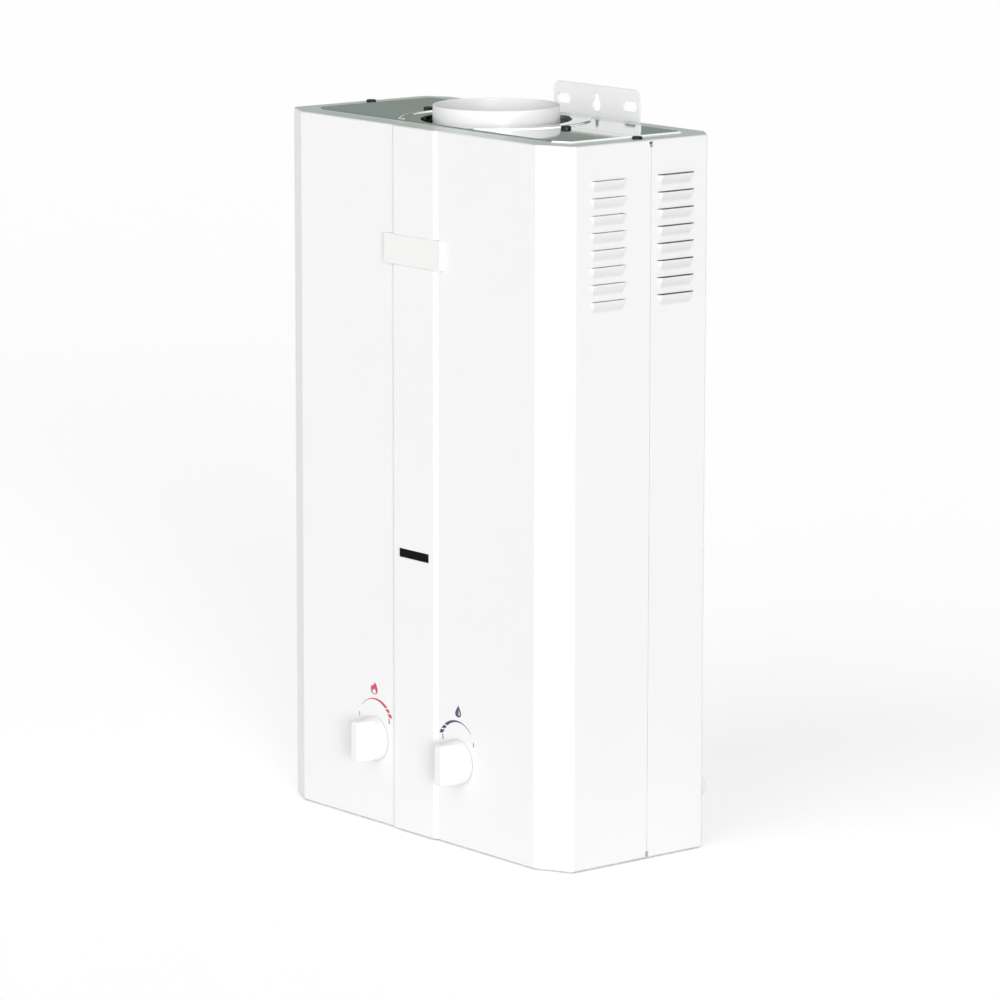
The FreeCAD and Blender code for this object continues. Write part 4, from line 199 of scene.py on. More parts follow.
class Finish(Nodes):
    """A material: its Principled shader, and nodes that read the place on the object."""

    def __init__(self, name, colour, roughness, metallic=0.0, **constants):
        self.material = bpy.data.materials.new(name)
        self.material.use_nodes = True
        super().__init__(self.material.node_tree)
        self.shader = self.tree.nodes["Principled BSDF"]
        self.shader.inputs["Base Color"].default_value = (*colour, 1)
        self.shader.inputs["Roughness"].default_value = roughness
        self.shader.inputs["Metallic"].default_value = metallic
        for socket, value in constants.items():
            self.shader.inputs[socket.replace("_", " ")].default_value = value
        self.place = self.node("ShaderNodeTexCoord", out="Object")

    def axis(self, letter):
        """One coordinate of the place on the object, in metres."""
        return self.part(self.place, letter)

    def stretched(self, scale):
        """The place on the object, scaled by a different amount along each axis."""
        return self.node("ShaderNodeMapping", {}, {"Vector": self.place, "Scale": scale})

    def noise(self, scale, detail=2.0, place=None):
        """Soft noise, from 0 to 1 about a half."""
        return self.node("ShaderNodeTexNoise", {},
                         {"Vector": place or self.place, "Scale": scale, "Detail": detail})

    def above(self, value, edge, width):
        """0 below an edge and 1 above it, with a soft step of some width."""
        return ((value - edge) / width + 0.5).limited()

    def mixed(self, factor, first, second):
        """A colour between two others."""
        sides = {0: factor, 6: first, 7: second}
        values = {socket: value if isinstance(value, Value) else (*value, 1)
                  for socket, value in sides.items()}
        return self.node("ShaderNodeMix", {"data_type": "RGBA"}, values, 2)

    def put(self, socket, value):
        """Links a worked-out value to the shader."""
        self.tree.links.new(value.socket, self.shader.inputs[socket])

    def bump(self, height, distance, strength=1.0):
        """Raises the surface by a height that is worked out."""
        self.put("Normal", self.node("ShaderNodeBump", {},
                                     {"Height": height, "Distance": distance, "Strength": strength}))


def shade(colour, factor):
    """The colour, lighter or darker."""
    return tuple(min(part * factor, 1.0) for part in colour)


# Finishes

def enamel_finish(settings, louvres, name, middle, slit):
    """White powder coat: faint orange peel, tiny changes of tone, and painted shade in and under each
    louvre.

    Middle is the depth of the louvre column's middle, or None, and slit is how dark the painted shade line
    in its slits is.
    """
    finish = Finish(name, settings.enamel, 0.34, Coat_Weight=0.2, Coat_Roughness=0.12)
    cloud = finish.noise(9.0)
    coat = finish.mixed(cloud, shade(settings.enamel, 0.985), shade(settings.enamel, 1.015))
    if middle is not None:
        # Painted shade in the louvres: one row per louvre down the side wall, within each louvre's length
        drop = louvres.top + louvres.slit - finish.axis("Z")
        step = drop.combine("MODULO", drop, louvres.pitch)
        below = finish.above(drop, louvres.pitch * louvres.count, 0.1 * MM)
        rows = finish.above(drop, 0.0, 0.1 * MM) * (1 - below)
        along = abs(finish.axis("Y") - middle)
        across = finish.above(abs(finish.axis("X")), HALF_WIDTH - 0.6 * MM, 0.2 * MM)
        zone = rows * across * (1 - finish.above(along + step * 0.5, louvres.length / 2, 0.8 * MM))
        # Painted shade: a near-black line in each slit
        line = zone * (1 - finish.above(step, louvres.slit, 0.3 * MM))
        hood_end = finish.above(step, 7.4 * MM, 1.6 * MM)
        # Painted shade: a darker band under each hood, fading out below it
        under = zone * finish.above(step, 3.2 * MM, 5.0 * MM) * (1 - hood_end)
        coat = finish.mixed(under * 0.5, coat, shade(settings.enamel, 0.76))
        coat = finish.mixed(line * slit, coat, (0.01, 0.01, 0.011))
    finish.put("Base Color", coat)
    finish.put("Roughness", 0.30 + finish.noise(60.0) * 0.08)
    finish.bump(finish.noise(620.0, 3.0), 0.00004, 0.3)
    return finish.material


def lid_finish(settings):
    """Polished steel with a satin rolled border round the raised panel, and fine drawn lines."""
    finish = Finish("polished_lid", settings.lid, 0.08, 1.0)
    raised = finish.above(finish.axis("Z"), LID_TOP + 0.3 * MM, 0.3 * MM)
    lines = finish.noise(240.0, 4.0, finish.stretched((0.04, 1.0, 1.0)))
    finish.put("Base Color", finish.mixed(raised, shade(settings.lid, 0.95), settings.lid))
    finish.put("Metallic", 0.4 + raised * 0.6)
    finish.put("Roughness", 0.30 - raised * 0.25 + lines * 0.02)
    return finish.material


def black_finish():
    """Black oxide on screw heads."""
    finish = Finish("black_oxide", (0.012, 0.012, 0.013), 0.38, 0.6)
    finish.put("Roughness", 0.30 + finish.noise(900.0) * 0.2)
    return finish.material


def zinc_finish():
    """Bright zinc plate, in faint crystal patches."""
    finish = Finish("zinc_plate", (0.62, 0.63, 0.63), 0.36, 0.9)
    patches = finish.node("ShaderNodeTexVoronoi", {"feature": "F1"},
                          {"Vector": finish.place, "Scale": 160.0}, "Distance")
    finish.put("Base Color", finish.mixed(patches, (0.70, 0.71, 0.71), (0.50, 0.51, 0.52)))
    finish.put("Roughness", 0.28 + patches * 0.22)
    return finish.material


def black_plastic_finish():
    """Black moulding with a fine grain."""
    finish = Finish("black_moulding", (0.018, 0.018, 0.019), 0.5)
    grain = finish.noise(2200.0, 3.0)
    finish.put("Roughness", 0.44 + grain * 0.14)
    finish.bump(grain, 0.00004, 0.5)
    return finish.material


def white_plastic_finish(settings):
    """Smooth white moulding, a little warmer than the casing."""
    finish = Finish("white_moulding", settings.plastic, 0.4)
    cloud = finish.noise(30.0)
    finish.put("Base Color", finish.mixed(cloud, shade(settings.plastic, 0.985),
                                          shade(settings.plastic, 1.01)))
    finish.put("Roughness", 0.36 + finish.noise(150.0) * 0.08)
    finish.bump(finish.noise(900.0, 2.0), 0.00001, 0.06)
    return finish.material


def rubber_finish():
    """Matt black rubber."""
    finish = Finish("rubber", (0.022, 0.022, 0.022), 0.85)
    dust = finish.noise(70.0, 5.0)
    finish.put("Base Color", finish.mixed(dust, (0.015, 0.015, 0.015), (0.035, 0.034, 0.033)))
    finish.bump(finish.noise(1300.0), 0.00006, 0.5)
    return finish.material


def pale_rubber_finish():
    """Soft pale rubber, which leaves no marks on a wall."""
    finish = Finish("pale_rubber", (0.86, 0.86, 0.85), 0.7)
    dust = finish.noise(70.0, 5.0)
    finish.put("Base Color", finish.mixed(dust, (0.84, 0.84, 0.83), (0.90, 0.90, 0.89)))
    finish.bump(finish.noise(1300.0), 0.00003, 0.2)
    return finish.material


def glass_finish():
    """Near-black heat-proof glass."""
    finish = Finish("dark_glass", (0.002, 0.002, 0.002), 0.12, Specular_IOR_Level=0.05)
    finish.put("Roughness", 0.10 + finish.noise(40.0) * 0.06)
    return finish.material


def metal_finish(name, light, dark, roughness, scale=90.0, grain=1400.0):
    """Machined or cast metal: patches of two tones and a fine grain."""
    finish = Finish(name, light, roughness, 1.0)
    cloud = finish.noise(scale, 4.0)
    finish.put("Base Color", finish.mixed(cloud, dark, light))
    finish.put("Roughness", roughness - 0.06 + cloud * 0.12)
    finish.bump(finish.noise(grain, 2.0), 0.00003, 0.35)
    return finish.material


def copper_finish():
    """Copper with the browner tint of heat towards the burner."""
    finish = Finish("copper", (0.86, 0.42, 0.26), 0.3, 1.0)
    low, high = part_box("combustion_chamber")
    heat = 1 - finish.above(finish.axis("Z"), (low[2] + high[2]) / 2, high[2] - low[2])
    cloud = finish.noise(45.0, 5.0)
    tint = finish.mixed((heat * 0.7 + cloud * 0.5).limited(), (0.88, 0.44, 0.27), (0.40, 0.17, 0.11))
    finish.put("Base Color", tint)
    finish.put("Roughness", 0.22 + cloud * 0.2)
    return finish.material


def ceramic_finish():
    """Unglazed white ceramic."""
    finish = Finish("ceramic", (0.84, 0.82, 0.77), 0.55)
    finish.bump(finish.noise(1800.0), 0.00004, 0.4)
    return finish.material


def cell_finish():
    """Plain dark sleeve of a battery cell, with a copper-coloured band at its top."""
    finish = Finish("cell_sleeve", (0.02, 0.021, 0.023), 0.3, 0.4)
    low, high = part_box("battery_cells")
    band = finish.above(finish.axis("Z"), high[2] - 16 * MM, 0.2 * MM)
    finish.put("Base Color", finish.mixed(band, (0.02, 0.021, 0.023), (0.62, 0.31, 0.14)))
    finish.put("Roughness", 0.26 + finish.noise(300.0) * 0.08)
    return finish.material


def ink_finish(name, colour):
    """Screen-printed ink: a matt colour with a faint mottle."""
    finish = Finish(name, colour, 0.5)
    mottle = finish.noise(900.0, 3.0)
    finish.put("Base Color", finish.mixed(mottle, shade(colour, 0.92), shade(colour, 1.06)))
    return finish.material


# Modelling helpers

def only(piece):
    """Selects one piece alone and makes it active."""
    bpy.ops.object.select_all(action="DESELECT")
    piece.select_set(True)
    bpy.context.view_layer.objects.active = piece


def start(name):
    """Names the primitive just added and its mesh, and leaves it active."""
    piece = bpy.context.object
    piece.name = name
    piece.data.name = name
    return piece


def edit(piece, kind):
    """Opens a piece in edit mode, in vertex, edge or face mode, with nothing selected."""
    only(piece)
    bpy.ops.object.mode_set(mode="EDIT")
    bpy.ops.mesh.select_mode(type=kind)
    bpy.ops.mesh.select_all(action="DESELECT")


def close_edit():
    """Back to object mode."""
    bpy.ops.object.mode_set(mode="OBJECT")


def middle_of(element):
    """The middle of a vertex, an edge or a face."""
    if isinstance(element, bmesh.types.BMVert):
        return element.co.copy()
    points = [vertex.co for vertex in element.verts]
    return sum(points, Vector()) / len(points)


def pick(piece, kind, test):
    """Selects the vertices, edges or faces whose middle passes a test, in edit mode."""
    shape = bmesh.from_edit_mesh(piece.data)
    bpy.ops.mesh.select_mode(type=kind)
    bpy.ops.mesh.select_all(action="DESELECT")
    parts = {"VERT": shape.verts, "EDGE": shape.edges, "FACE": shape.faces}[kind]
    for part in parts:
        if test(part):
            part.select_set(True)
    shape.select_flush_mode()
    bmesh.update_edit_mesh(piece.data)


def modified(piece, kind, **settings):
    """Adds a modifier with its settings, and applies it."""
    only(piece)
    modifier = piece.modifiers.new(kind.title(), kind)
    for name, setting in settings.items():
        setattr(modifier, name, setting)
    bpy.ops.object.modifier_apply(modifier=modifier.name)


def cut_by(piece, cutter):
    """Takes one piece out of another and deletes the cutter."""
    modified(piece, "BOOLEAN", object=cutter, operation="DIFFERENCE", solver="EXACT")
    bpy.data.objects.remove(cutter)


def joined(name, pieces):
    """Several pieces as one object."""
    bpy.ops.object.select_all(action="DESELECT")
    for piece in pieces:
        piece.select_set(True)
    bpy.context.view_layer.objects.active = pieces[0]
    if len(pieces) > 1:
        bpy.ops.object.join()
    return start(name)


def place_applied(piece):
    """Moves a piece's place into its mesh, so that its object sits at the origin."""
    only(piece)
    bpy.ops.object.transform_apply(location=True, rotation=True, scale=True)


def copied(piece, offset):
    """A copy of a piece with its own mesh, moved by an offset."""
    twin = piece.copy()
    twin.data = piece.data.copy()
    bpy.context.scene.collection.objects.link(twin)
    twin.location = piece.location + Vector(offset)
    return twin


def hand_over(piece, body, material, nodes=(), angle=40.0):
    """Gives a finished piece its place, smoothing, material slot and body, and hides the nodes that it
    replaces.
    """
    place_applied(piece)
    if angle:
        bpy.ops.object.shade_smooth_by_angle(angle=math.radians(angle))
    piece.data.materials.clear()
    piece.data.materials.append(material)
    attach(piece, body)
    if nodes:
        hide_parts(*nodes)
    return piece


def paint(material, *nodes):
    """Gives CAD nodes a finish."""
    for node in nodes:
        for place in NODES[node].material_slots:
            place.material = material


# Settings

class HeaterFinishes(bpy.types.PropertyGroup):
    """Colours of the outer finishes."""

    enamel: FloatVectorProperty(name="Enamel", description="Colour of the powder coat", subtype="COLOR",
                                default=(0.875, 0.872, 0.875), min=0, max=1)
    lid: FloatVectorProperty(name="Lid", description="Colour of the polished lid", subtype="COLOR",
                             default=(0.80, 0.84, 0.81), min=0, max=1)
    plastic: FloatVectorProperty(name="Mouldings", description="Colour of the knobs and the badge",
                                 subtype="COLOR", default=(0.865, 0.865, 0.855), min=0, max=1)
    gas_ink: FloatVectorProperty(name="Gas print", description="Colour of the gas dial's print",
                                 subtype="COLOR", default=(0.58, 0.075, 0.13), min=0, max=1)
    water_ink: FloatVectorProperty(name="Water print", description="Colour of the water dial's print",
                                   subtype="COLOR", default=(0.052, 0.07, 0.135), min=0, max=1)
    figure_ink: FloatVectorProperty(name="Figures", description="Colour of the dials' numbers",
                                    subtype="COLOR", default=(0.10, 0.10, 0.105), min=0, max=1)


class HeaterLouvres(bpy.types.PropertyGroup):
    """Places of the louvres in the casing's sides, and of the shade painted in and under them."""

    top: FloatProperty(name="Top", description="Height of the upper slit", subtype="DISTANCE",
                       default=461.2 * MM)
    pitch: FloatProperty(name="Pitch", description="Height from slit to slit", subtype="DISTANCE",
                         default=11.36 * MM)
    length: FloatProperty(name="Length", description="Length of a slit", subtype="DISTANCE",
                          default=32.0 * MM)
    # Slit: height of the near-black line of painted shade in each slit
    slit: FloatProperty(name="Slit", description="Height of the dark line", subtype="DISTANCE",
                        default=0.5 * MM)
    front: FloatProperty(name="Front column", description="Depth of the front column's middle",
                         subtype="DISTANCE", default=41.3 * MM)
    rear: FloatProperty(name="Rear column", description="Depth of the rear column's middle",
                        subtype="DISTANCE", default=99.6 * MM)
    count: IntProperty(name="Rows", description="Louvres in each column", default=8)


class HeaterPrints(bpy.types.PropertyGroup):
    """Sizes of the prints round the knobs."""

    arc_radius: FloatProperty(name="Arc radius", description="Inner radius of the tapered arc",
                              subtype="DISTANCE", default=18.2 * MM, min=0.001)
    arc_rise: FloatProperty(name="Arc centre", description="Height of the arc's centre over the knob",
                            subtype="DISTANCE", default=9.0 * MM)
    arc_width: FloatProperty(name="Arc width", description="Width of the arc at its wide end",
                             subtype="DISTANCE", default=3.0 * MM, min=0.0001)
    arc_tip: FloatProperty(name="Arc tip", description="Width of the arc at its thin end",
                           subtype="DISTANCE", default=0.35 * MM, min=0.00001)
    icon_rise: FloatProperty(name="Icon height", description="Height of the icon's middle over the knob",
                             subtype="DISTANCE", default=35.0 * MM)
    icon_size: FloatProperty(name="Icon size", description="Height of the flame and of the drop",
                             subtype="DISTANCE", default=8.6 * MM, min=0.001)
    figure_size: FloatProperty(name="Figure size", description="Height of the numbers' body",
                               subtype="DISTANCE", default=4.5 * MM, min=0.001)
    ink_height: FloatProperty(name="Ink", description="Thickness of the printed ink", subtype="DISTANCE",
                              default=0.05 * MM, min=0.00001)


class HeaterStage(bpy.types.PropertyGroup):
    """Camera and light."""

    azimuth: FloatProperty(name="Azimuth", description="Camera's angle right of the front, in degrees",
                           default=50.748)
    elevation: FloatProperty(name="Elevation", description="Camera's angle above the horizon, in degrees",
                             default=10.472)
    distance: FloatProperty(name="Distance", description="Camera to its target", subtype="DISTANCE",
                            default=3.5654)
    lens: FloatProperty(name="Lens", description="Focal length in millimetres", default=193.567)
    roll: FloatProperty(name="Roll", description="Camera's turn about its own axis, in degrees",
                        default=0.087)
    target: FloatVectorProperty(name="Target", description="Point that the camera looks at",
                                subtype="TRANSLATION", default=(0.09028, -0.0711, 0.24526))
    key: FloatProperty(name="Key light", description="Power of the light from the right", default=1.74)
    front: FloatProperty(name="Front light", description="Power of the light from the front", default=1.08)
    back: FloatProperty(name="Back light", description="Power of the light from behind", default=0.5)
    ambient: FloatProperty(name="Ambient", description="Strength of the even light", default=0.36)


# Pieces

class HEATER_OT_casing(bpy.types.Operator):
    """Finishes the painted sheet metal: cover, rear case, flue collar and wall bracket, with painted shade
    in the louvres
    """

    bl_idname = "heater.casing"
    bl_label = "Casing"

    def execute(self, context):
        finishes = context.scene.heater_finishes
        louvres = context.scene.heater_louvres
        # Each louvre column's depth, and how dark the painted shade line in its slits is
        for node, depth, slit in (("front_cover", louvres.front, 0.12), ("rear_case", louvres.rear, 0.96)):
            paint(enamel_finish(finishes, louvres, "enamel_" + node, FRONT + depth, slit), node)
        paint(enamel_finish(finishes, louvres, "enamel_plain", None, 0.0), "flue_collar", "wall_bracket")
        return {"FINISHED"}


class HEATER_OT_lid(bpy.types.Operator):
    """Finishes the two polished halves of the lid"""

    bl_idname = "heater.lid"
    bl_label = "Lid"

    def execute(self, context):
        paint(lid_finish(context.scene.heater_finishes), "top_front_plate", "top_rear_plate")
        return {"FINISHED"}


class HEATER_OT_mouldings(bpy.types.Operator):
    """Finishes the knobs, the badge, the window and the black mouldings"""

    bl_idname = "heater.mouldings"
    bl_label = "Mouldings"

    def execute(self, context):
        paint(white_plastic_finish(context.scene.heater_finishes), "gas_knob", "water_knob", "badge_plate",
              "inlet_filter")
        paint(black_plastic_finish(), "battery_box", "battery_door", "ignition_module", "micro_switch",
              "solenoid_coil", "relief_valve")
        paint(rubber_finish(), "diaphragm", "fitting_gaskets")
        paint(pale_rubber_finish(), "wall_spacers")
        paint(glass_finish(), "sight_window")
        return {"FINISHED"}


class HEATER_OT_works(bpy.types.Operator):
    """Finishes the metal parts inside and below"""

    bl_idname = "heater.works"
    bl_label = "Inner works"

    def execute(self, context):
        paint(zinc_finish(), "base_tray", "valve_bridge", "union_nuts")
        paint(metal_finish("brass", (0.80, 0.60, 0.29), (0.62, 0.44, 0.19), 0.32), "gland_nuts",
              "gas_valve_cap", "water_valve_body", "diaphragm_cover", "gas_inlet_fitting",
              "cold_inlet_fitting", "hot_outlet_fitting", "fitting_nuts", "gas_nozzles")
        paint(metal_finish("cast_aluminium", (0.72, 0.72, 0.73), (0.55, 0.55, 0.56), 0.5, 60.0, 700.0),
              "gas_valve_body", "gas_pipe", "gas_manifold")
        paint(metal_finish("plain_steel", (0.58, 0.57, 0.56), (0.45, 0.44, 0.43), 0.34), "gas_spindle",
              "water_spindle", "push_rod", "switch_lever", "gas_valve_spring", "diaphragm_bolts",
              "burner_tray", "burner_bars", "chamber_brackets", "heat_shield", "flue_hood",
              "overheat_thermostat", "battery_hinge_pin", "battery_contacts", "door_contact",
              "solenoid_plunger")
        paint(copper_finish(), "combustion_chamber", "exchanger_tube", "exchanger_fins")
        paint(ceramic_finish(), "spark_electrode", "flame_sensor")
        paint(cell_finish(), "battery_cells")
        return {"FINISHED"}


def tapered_arc(prints, side):
    """Arc that widens from a point to a blunt end, with the wide end cut into blocks."""
    radius = prints.arc_radius
    bpy.ops.mesh.primitive_circle_add(vertices=240, radius=radius, fill_type="NOTHING")
    arc = start("arc")
    tip = math.radians(ARC_TIP)
    end = math.radians(ARC_END)
    edit(arc, "VERT")
    pick(arc, "VERT", lambda v: not end < math.atan2(v.co.y, v.co.x) < tip)
    bpy.ops.mesh.delete(type="VERT")
    bpy.ops.mesh.select_all(action="SELECT")
    bpy.ops.mesh.extrude_region()
    point = Vector((math.cos(tip), math.sin(tip), 0)) * radius
    half = (tip - end) / 2
    grow = 1 + prints.arc_width / (2 * radius * math.sin(half) ** 2)
    bpy.ops.transform.resize(value=(grow, grow, 1), center_override=point)
    edge = 1 + prints.arc_tip / radius
    bpy.ops.transform.resize(value=(edge, edge, 1), center_override=(0, 0, 0))
    for low, high in ARC_GAPS:
        gap = [math.radians(low), math.radians(high)]
        pick(arc, "FACE", lambda f: gap[0] < math.atan2(middle_of(f).y, middle_of(f).x) < gap[1])
        bpy.ops.mesh.delete(type="FACE")
    close_edit()
    if side > 0:
        arc.scale.x = -1
        place_applied(arc)
        edit(arc, "FACE")
        bpy.ops.mesh.select_all(action="SELECT")
        bpy.ops.mesh.flip_normals()
        close_edit()
    return arc


def drop_outline(curve, points):
    """Adds a closed smooth outline to a flat curve. Each point is its place and the reach of its handles."""
    spline = curve.splines.new("BEZIER")
    spline.bezier_points.add(len(points) - 1)
    for knot, (place, before, after) in zip(spline.bezier_points, points):
        knot.co = (*place, 0)
        knot.handle_left_type = knot.handle_right_type = "FREE"
        knot.handle_left = (place[0] + before[0], place[1] + before[1], 0)
        knot.handle_right = (place[0] + after[0], place[1] + after[1], 0)
    spline.use_cyclic_u = True
    spline.resolution_u = 10


# Outlines on a height of 1: each point with its two handles
FLAME = [
    ((0.06, 0.52), (0.16, -0.20), (-0.04, -0.16)),
    ((-0.16, 0.16), (0.04, 0.12), (-0.03, 0.05)),
    ((-0.24, 0.22), (0.03, -0.02), (-0.10, -0.10)),
    ((-0.32, -0.18), (0.00, 0.18), (0.00, -0.20)),
    ((0.00, -0.50), (-0.18, 0.00), (0.18, 0.00)),
    ((0.32, -0.16), (0.00, -0.20), (0.00, 0.24)),
]
FLAME_HEART = [
    ((0.00, -0.02), (0.03, -0.06), (-0.03, -0.06)),
    ((-0.17, -0.27), (0.00, 0.10), (0.00, -0.10)),
    ((0.00, -0.43), (-0.10, 0.00), (0.10, 0.00)),
    ((0.17, -0.27), (0.00, -0.10), (0.00, 0.10)),
]
DROP = [
    ((0.02, 0.50), (0.04, -0.18), (-0.04, -0.18)),
    ((-0.27, -0.20), (0.00, 0.20), (0.00, -0.17)),
    ((0.00, -0.50), (-0.15, 0.00), (0.15, 0.00)),
    ((0.27, -0.20), (0.00, -0.17), (0.00, 0.20)),
]
DROP_GLEAM = [
    ((0.05, 0.10), (0.03, -0.08), (0.00, -0.12)),
    ((0.02, -0.34), (0.03, 0.03), (0.10, -0.02)),
    ((0.15, -0.20), (0.00, -0.08), (0.00, 0.10)),
]


def icon(name, outlines, size):
    """Flat icon from closed outlines, the inner one a hole."""
    curve = bpy.data.curves.new(name, "CURVE")
    curve.dimensions = "2D"
    curve.fill_mode = "BOTH"
    for outline in outlines:
        drop_outline(curve, outline)
    piece = bpy.data.objects.new(name, curve)
    bpy.context.scene.collection.objects.link(piece)
    only(piece)
    bpy.ops.object.convert(target="MESH")
    piece = bpy.context.object
    piece.scale = (size * ICON_STRETCH, size, 1)
    place_applied(piece)
    return piece


def figure(text, size):
    """One number as a flat mesh, centred."""
    bpy.ops.object.text_add()
    piece = bpy.context.object
    piece.data.body = text
    piece.data.size = size
    piece.data.align_x = "CENTER"
    piece.data.align_y = "CENTER"
    piece.data.offset = 0.02 * size
    bpy.ops.object.convert(target="MESH")
    return bpy.context.object


def printed(piece, name, x, z, height, material):
    """Gives a flat shape the ink's thickness and sets it on the front panel."""
    modified(piece, "SOLIDIFY", thickness=height, offset=1.0)
    piece.name = name
    piece.data.name = name
    piece.rotation_euler = (math.radians(90), 0, 0)
    piece.location = (x, FRONT, z)
    return hand_over(piece, "casing", material, angle=0)


class HEATER_OT_prints(bpy.types.Operator):
    """Prints the arcs, icons and numbers round the two knobs"""

    bl_idname = "heater.prints"
    bl_label = "Dial prints"

    def execute(self, context):
        finishes = context.scene.heater_finishes
        prints = context.scene.heater_prints
        inks = {
            "gas": ink_finish("gas_ink", finishes.gas_ink),
            "water": ink_finish("water_ink", finishes.water_ink),
        }
        figure_ink = ink_finish("figure_ink", finishes.figure_ink)
        dials = (
            ("gas", GAS_X, -1, (FLAME, FLAME_HEART), ("1", "5")),
            ("water", WATER_X, 1, (DROP, DROP_GLEAM), ("5", "1")),
        )
        for name, x, side, outlines, numbers in dials:
            arc = tapered_arc(prints, side)
            printed(arc, name + "_arc", x, KNOB_Z + prints.arc_rise, prints.ink_height, inks[name])
            sign = icon(name + "_icon", outlines, prints.icon_size)
            printed(sign, name + "_icon", x, KNOB_Z + prints.icon_rise, prints.ink_height, inks[name])
            for number, reach in zip(numbers, (-FIGURE_REACH, FIGURE_REACH)):
                digit = figure(number, prints.figure_size)
                printed(digit, name + "_figure_" + number, x + reach, KNOB_Z + FIGURE_RISE,
                        prints.ink_height, figure_ink)
        return {"FINISHED"}


def screw():
    """Pan-head screw with a cross recess, head up, its seat at the origin."""
    bpy.ops.mesh.primitive_cylinder_add(vertices=40, radius=HEAD_RADIUS, depth=HEAD_HEIGHT,
                                        location=(0, 0, HEAD_HEIGHT / 2))
    head = start("screw")
    place_applied(head)
    edit(head, "EDGE")
    pick(head, "EDGE", lambda e: middle_of(e).z > HEAD_HEIGHT * 0.95)
    bpy.ops.mesh.bevel(offset=HEAD_ROUND, segments=6, profile=0.6)
    pick(head, "FACE", lambda f: f.normal.z < -0.9)
    bpy.ops.mesh.inset(thickness=HEAD_RADIUS - SHANK_RADIUS)
    bpy.ops.mesh.extrude_region()
    bpy.ops.transform.translate(value=(0, 0, -SHANK_LENGTH))
    close_edit()
    arms = []
    for turn in (0, 90):
        bpy.ops.mesh.primitive_cone_add(vertices=4, radius1=RECESS_POINT, radius2=RECESS_RADIUS,
                                        depth=HEAD_HEIGHT, location=(0, 0, RECESS_MIDDLE))
        arm = start("arm")
        arm.rotation_euler = (0, 0, math.radians(45))
        place_applied(arm)
        arm.scale = (1, RECESS_ARM, 1) if turn else (RECESS_ARM, 1, 1)
        place_applied(arm)
        arms.append(arm)
    for arm in arms:
        cut_by(head, arm)
    return head


def screw_group(name, places, turn, material, node):
    """Copies of the screw at several places, each turned a little differently, as one piece."""
    master = screw()
    copies = []
    for i, place in enumerate(places):
        twin = copied(master, (0, 0, 0))
        twin.matrix_world = (Matrix.Translation(place) @ turn
                             @ Matrix.Rotation(math.radians(23 + 61 * i), 4, "Z"))
        copies.append(twin)
    bpy.data.objects.remove(master)
    for twin in copies:
        place_applied(twin)
    return hand_over(joined(name, copies), "casing", material, (node,))


def screw_places(node, seat):
    """Seats of a node's screws, found from the middles of its separate solids."""
    shape = bmesh.new()
    shape.from_mesh(NODES[node].data)
    bmesh.ops.remove_doubles(shape, verts=shape.verts, dist=0.01 * MM)
    left = set(shape.verts)
    places = []
    while left:
        group = [left.pop()]
        for vertex in group:
            for edge in vertex.link_edges:
                other = edge.other_vert(vertex)
                if other in left:
                    left.remove(other)
                    group.append(other)
        low = Vector([min(v.co[i] for v in group) for i in range(3)])
        high = Vector([max(v.co[i] for v in group) for i in range(3)])
        places.append(seat(low, high))
    shape.free()
    return sorted(places, key=lambda place: (place.x, place.z))


class HEATER_OT_screws(bpy.types.Operator):
    """Models the screws of the lid, the case and the wall bracket with their cross recesses"""

    bl_idname = "heater.screws"
    bl_label = "Screws"

    def execute(self, context):
        black = black_finish()
        zinc = zinc_finish()
        upright = Matrix.Identity(4)
        backwards = Matrix.Rotation(math.radians(-90), 4, "X")

        def above(low, high):
            return Vector(((low.x + high.x) / 2, (low.y + high.y) / 2, high.z - CAD_HEAD))

        def behind(low, high):
            return Vector(((low.x + high.x) / 2, high.y - CAD_HEAD, (low.z + high.z) / 2))

        screw_group("lid_screws", screw_places("top_screws", above), upright, black,
                    "top_screws")
        screw_group("back_panel_screws", screw_places("case_screws", behind), backwards, zinc,
                    "case_screws")
        screw_group("hanger_screws", screw_places("bracket_screws", behind), backwards, zinc,
                    "bracket_screws")
        return {"FINISHED"}


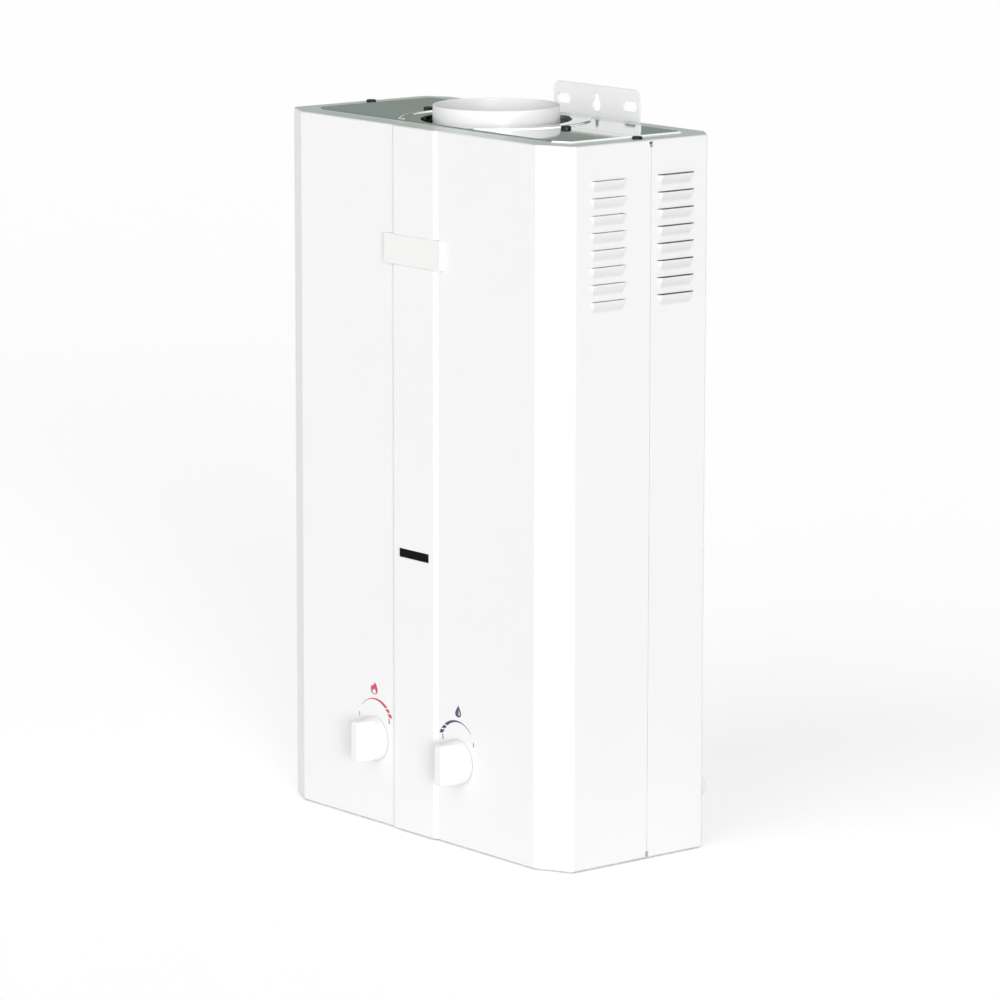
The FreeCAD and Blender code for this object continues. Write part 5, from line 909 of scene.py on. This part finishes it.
class HEATER_OT_stage(bpy.types.Operator):
    """Sets up the pale floor, the studio light, the world and the camera"""

    bl_idname = "heater.stage"
    bl_label = "Stage"

    def execute(self, context):
        stage = context.scene.heater_stage
        self.floor()
        self.world(context.scene, stage)
        self.lamps(stage)
        self.camera(context.scene, stage)
        context.scene.view_settings.view_transform = "Standard"
        return {"FINISHED"}

    def floor(self):
        """Pale floor that keeps its shadows. To the camera it glows a little, but not under the casing."""
        bpy.ops.object.select_all(action="DESELECT")
        bpy.ops.mesh.primitive_plane_add(size=FLOOR_SIZE, location=(0, 0, -FLOOR_DROP))
        floor = start("studio_floor")
        place_applied(floor)
        material = bpy.data.materials.new("floor_white")
        material.use_nodes = True
        nodes = Nodes(material.node_tree)
        nodes.tree.nodes.remove(nodes.tree.nodes["Principled BSDF"])
        place = nodes.node("ShaderNodeTexCoord", out="Object")
        across = abs(nodes.part(place, "X")) - HALF_WIDTH
        along = abs(nodes.part(place, "Y") - CASE_MIDDLE_Y) - HALF_DEPTH
        corner = (across + along * 2 + CORNER_CUT) / 2
        nearest = across.combine("MAXIMUM", across.combine("MAXIMUM", across, along), corner)
        outside = (nearest / GLOW_EDGE + 1.0).limited()
        strength = nodes.seen_by("Camera", "Glossy") * FLOOR_GLOW * outside
        diffuse = nodes.node("ShaderNodeBsdfDiffuse", {}, {"Color": FLOOR_GREY})
        glow = nodes.node("ShaderNodeEmission", {}, {"Color": (*WHITE, 1), "Strength": strength})
        both = nodes.node("ShaderNodeAddShader", {}, {0: diffuse, 1: glow})
        nodes.finish_with(both, "Material Output")
        floor.data.materials.append(material)

    def world(self, scene, stage):
        """Even white light. The camera, metal and glass see a white room with a grey band."""
        world = bpy.data.worlds.new("studio")
        scene.world = world
        world.use_nodes = True
        nodes = Nodes(world.node_tree)
        nodes.tree.nodes.remove(nodes.tree.nodes["Background"])
        direction = nodes.node("ShaderNodeTexCoord", out="Generated")
        away = nodes.part(direction, "X") * MIRRORED_X + nodes.part(direction, "Y") * MIRRORED_Y
        sector = ((away - SECTOR_START) / SECTOR_SOFTNESS).limited()
        height = nodes.part(direction, "Z") + sector * SECTOR_DROP
        colour = nodes.node("ShaderNodeValToRGB", {"stops": ROOM}, {"Fac": height})
        room = nodes.node("ShaderNodeBackground", {}, {"Color": colour, "Strength": 1.0})
        even = nodes.node("ShaderNodeBackground", {}, {"Color": (*WHITE, 1), "Strength": stage.ambient})
        seen = nodes.seen_by("Camera", "Glossy", "Transmission")
        both = nodes.node("ShaderNodeMixShader", {}, {0: seen, 1: even, 2: room})
        nodes.finish_with(both, "World Output")

    def lamps(self, stage):
        """Three wide lamps, each with its azimuth, elevation and spread in degrees."""
        for name, azimuth, elevation, power, spread in (
            ("key", 62.0, 8.0, stage.key, 18.0),
            ("front_fill", 10.0, 25.0, stage.front, 60.0),
            ("back_fill", 200.0, 55.0, stage.back, 60.0),
        ):
            lamp = bpy.data.lights.new(name, "SUN")
            lamp.energy = power
            lamp.angle = math.radians(spread)
            holder = bpy.data.objects.new(name, lamp)
            bpy.context.scene.collection.objects.link(holder)
            a, e = math.radians(azimuth), math.radians(elevation)
            towards = Vector((math.sin(a) * math.cos(e), -math.cos(a) * math.cos(e), math.sin(e)))
            holder.rotation_mode = "QUATERNION"
            holder.rotation_quaternion = towards.to_track_quat("Z", "Y")

    def camera(self, scene, stage):
        """Camera from the photo's side."""
        a, e = math.radians(stage.azimuth), math.radians(stage.elevation)
        back = Vector((math.sin(a) * math.cos(e), -math.cos(a) * math.cos(e), math.sin(e)))
        target = Vector(stage.target)
        data = bpy.data.cameras.new("photo_view")
        data.lens = stage.lens
        data.sensor_width = 36.0
        data.clip_start = 0.1
        data.clip_end = 100.0
        camera = bpy.data.objects.new("photo_view", data)
        scene.collection.objects.link(camera)
        camera.location = target + back * stage.distance
        camera.rotation_mode = "QUATERNION"
        roll = Quaternion((0, 0, 1), math.radians(stage.roll))
        camera.rotation_quaternion = (-back).to_track_quat("-Z", "Y") @ roll
        scene.camera = camera


class HEATER_PT_panel(bpy.types.Panel):
    """Lists the heater's settings and its operators"""

    bl_label = "Water heater"
    bl_idname = "HEATER_PT_panel"
    bl_space_type = "VIEW_3D"
    bl_region_type = "UI"
    bl_category = "Water heater"

    def draw(self, context):
        for group in (getattr(context.scene, name) for name in GROUPS):
            box = self.layout.box()
            for name in group.__annotations__:
                box.prop(group, name)
        for operator in OPERATORS:
            self.layout.operator(operator.bl_idname)


GROUPS = {"heater_finishes": HeaterFinishes, "heater_louvres": HeaterLouvres,
          "heater_prints": HeaterPrints, "heater_stage": HeaterStage}
OPERATORS = (HEATER_OT_casing, HEATER_OT_lid, HEATER_OT_mouldings, HEATER_OT_works, HEATER_OT_prints,
             HEATER_OT_screws, HEATER_OT_stage)


def register():
    for group in GROUPS.values():
        bpy.utils.register_class(group)
    for name, group in GROUPS.items():
        setattr(bpy.types.Scene, name, PointerProperty(type=group))
    for operator in OPERATORS:
        bpy.utils.register_class(operator)
    bpy.utils.register_class(HEATER_PT_panel)


def unregister():
    bpy.utils.unregister_class(HEATER_PT_panel)
    for operator in reversed(OPERATORS):
        bpy.utils.unregister_class(operator)
    for name, group in GROUPS.items():
        delattr(bpy.types.Scene, name)
        bpy.utils.unregister_class(group)


def main():
    register()
    bpy.ops.heater.casing()
    bpy.ops.heater.lid()
    bpy.ops.heater.mouldings()
    bpy.ops.heater.works()
    bpy.ops.heater.prints()
    bpy.ops.heater.screws()
    bpy.ops.heater.stage()


if __name__ == "__main__":
    main()
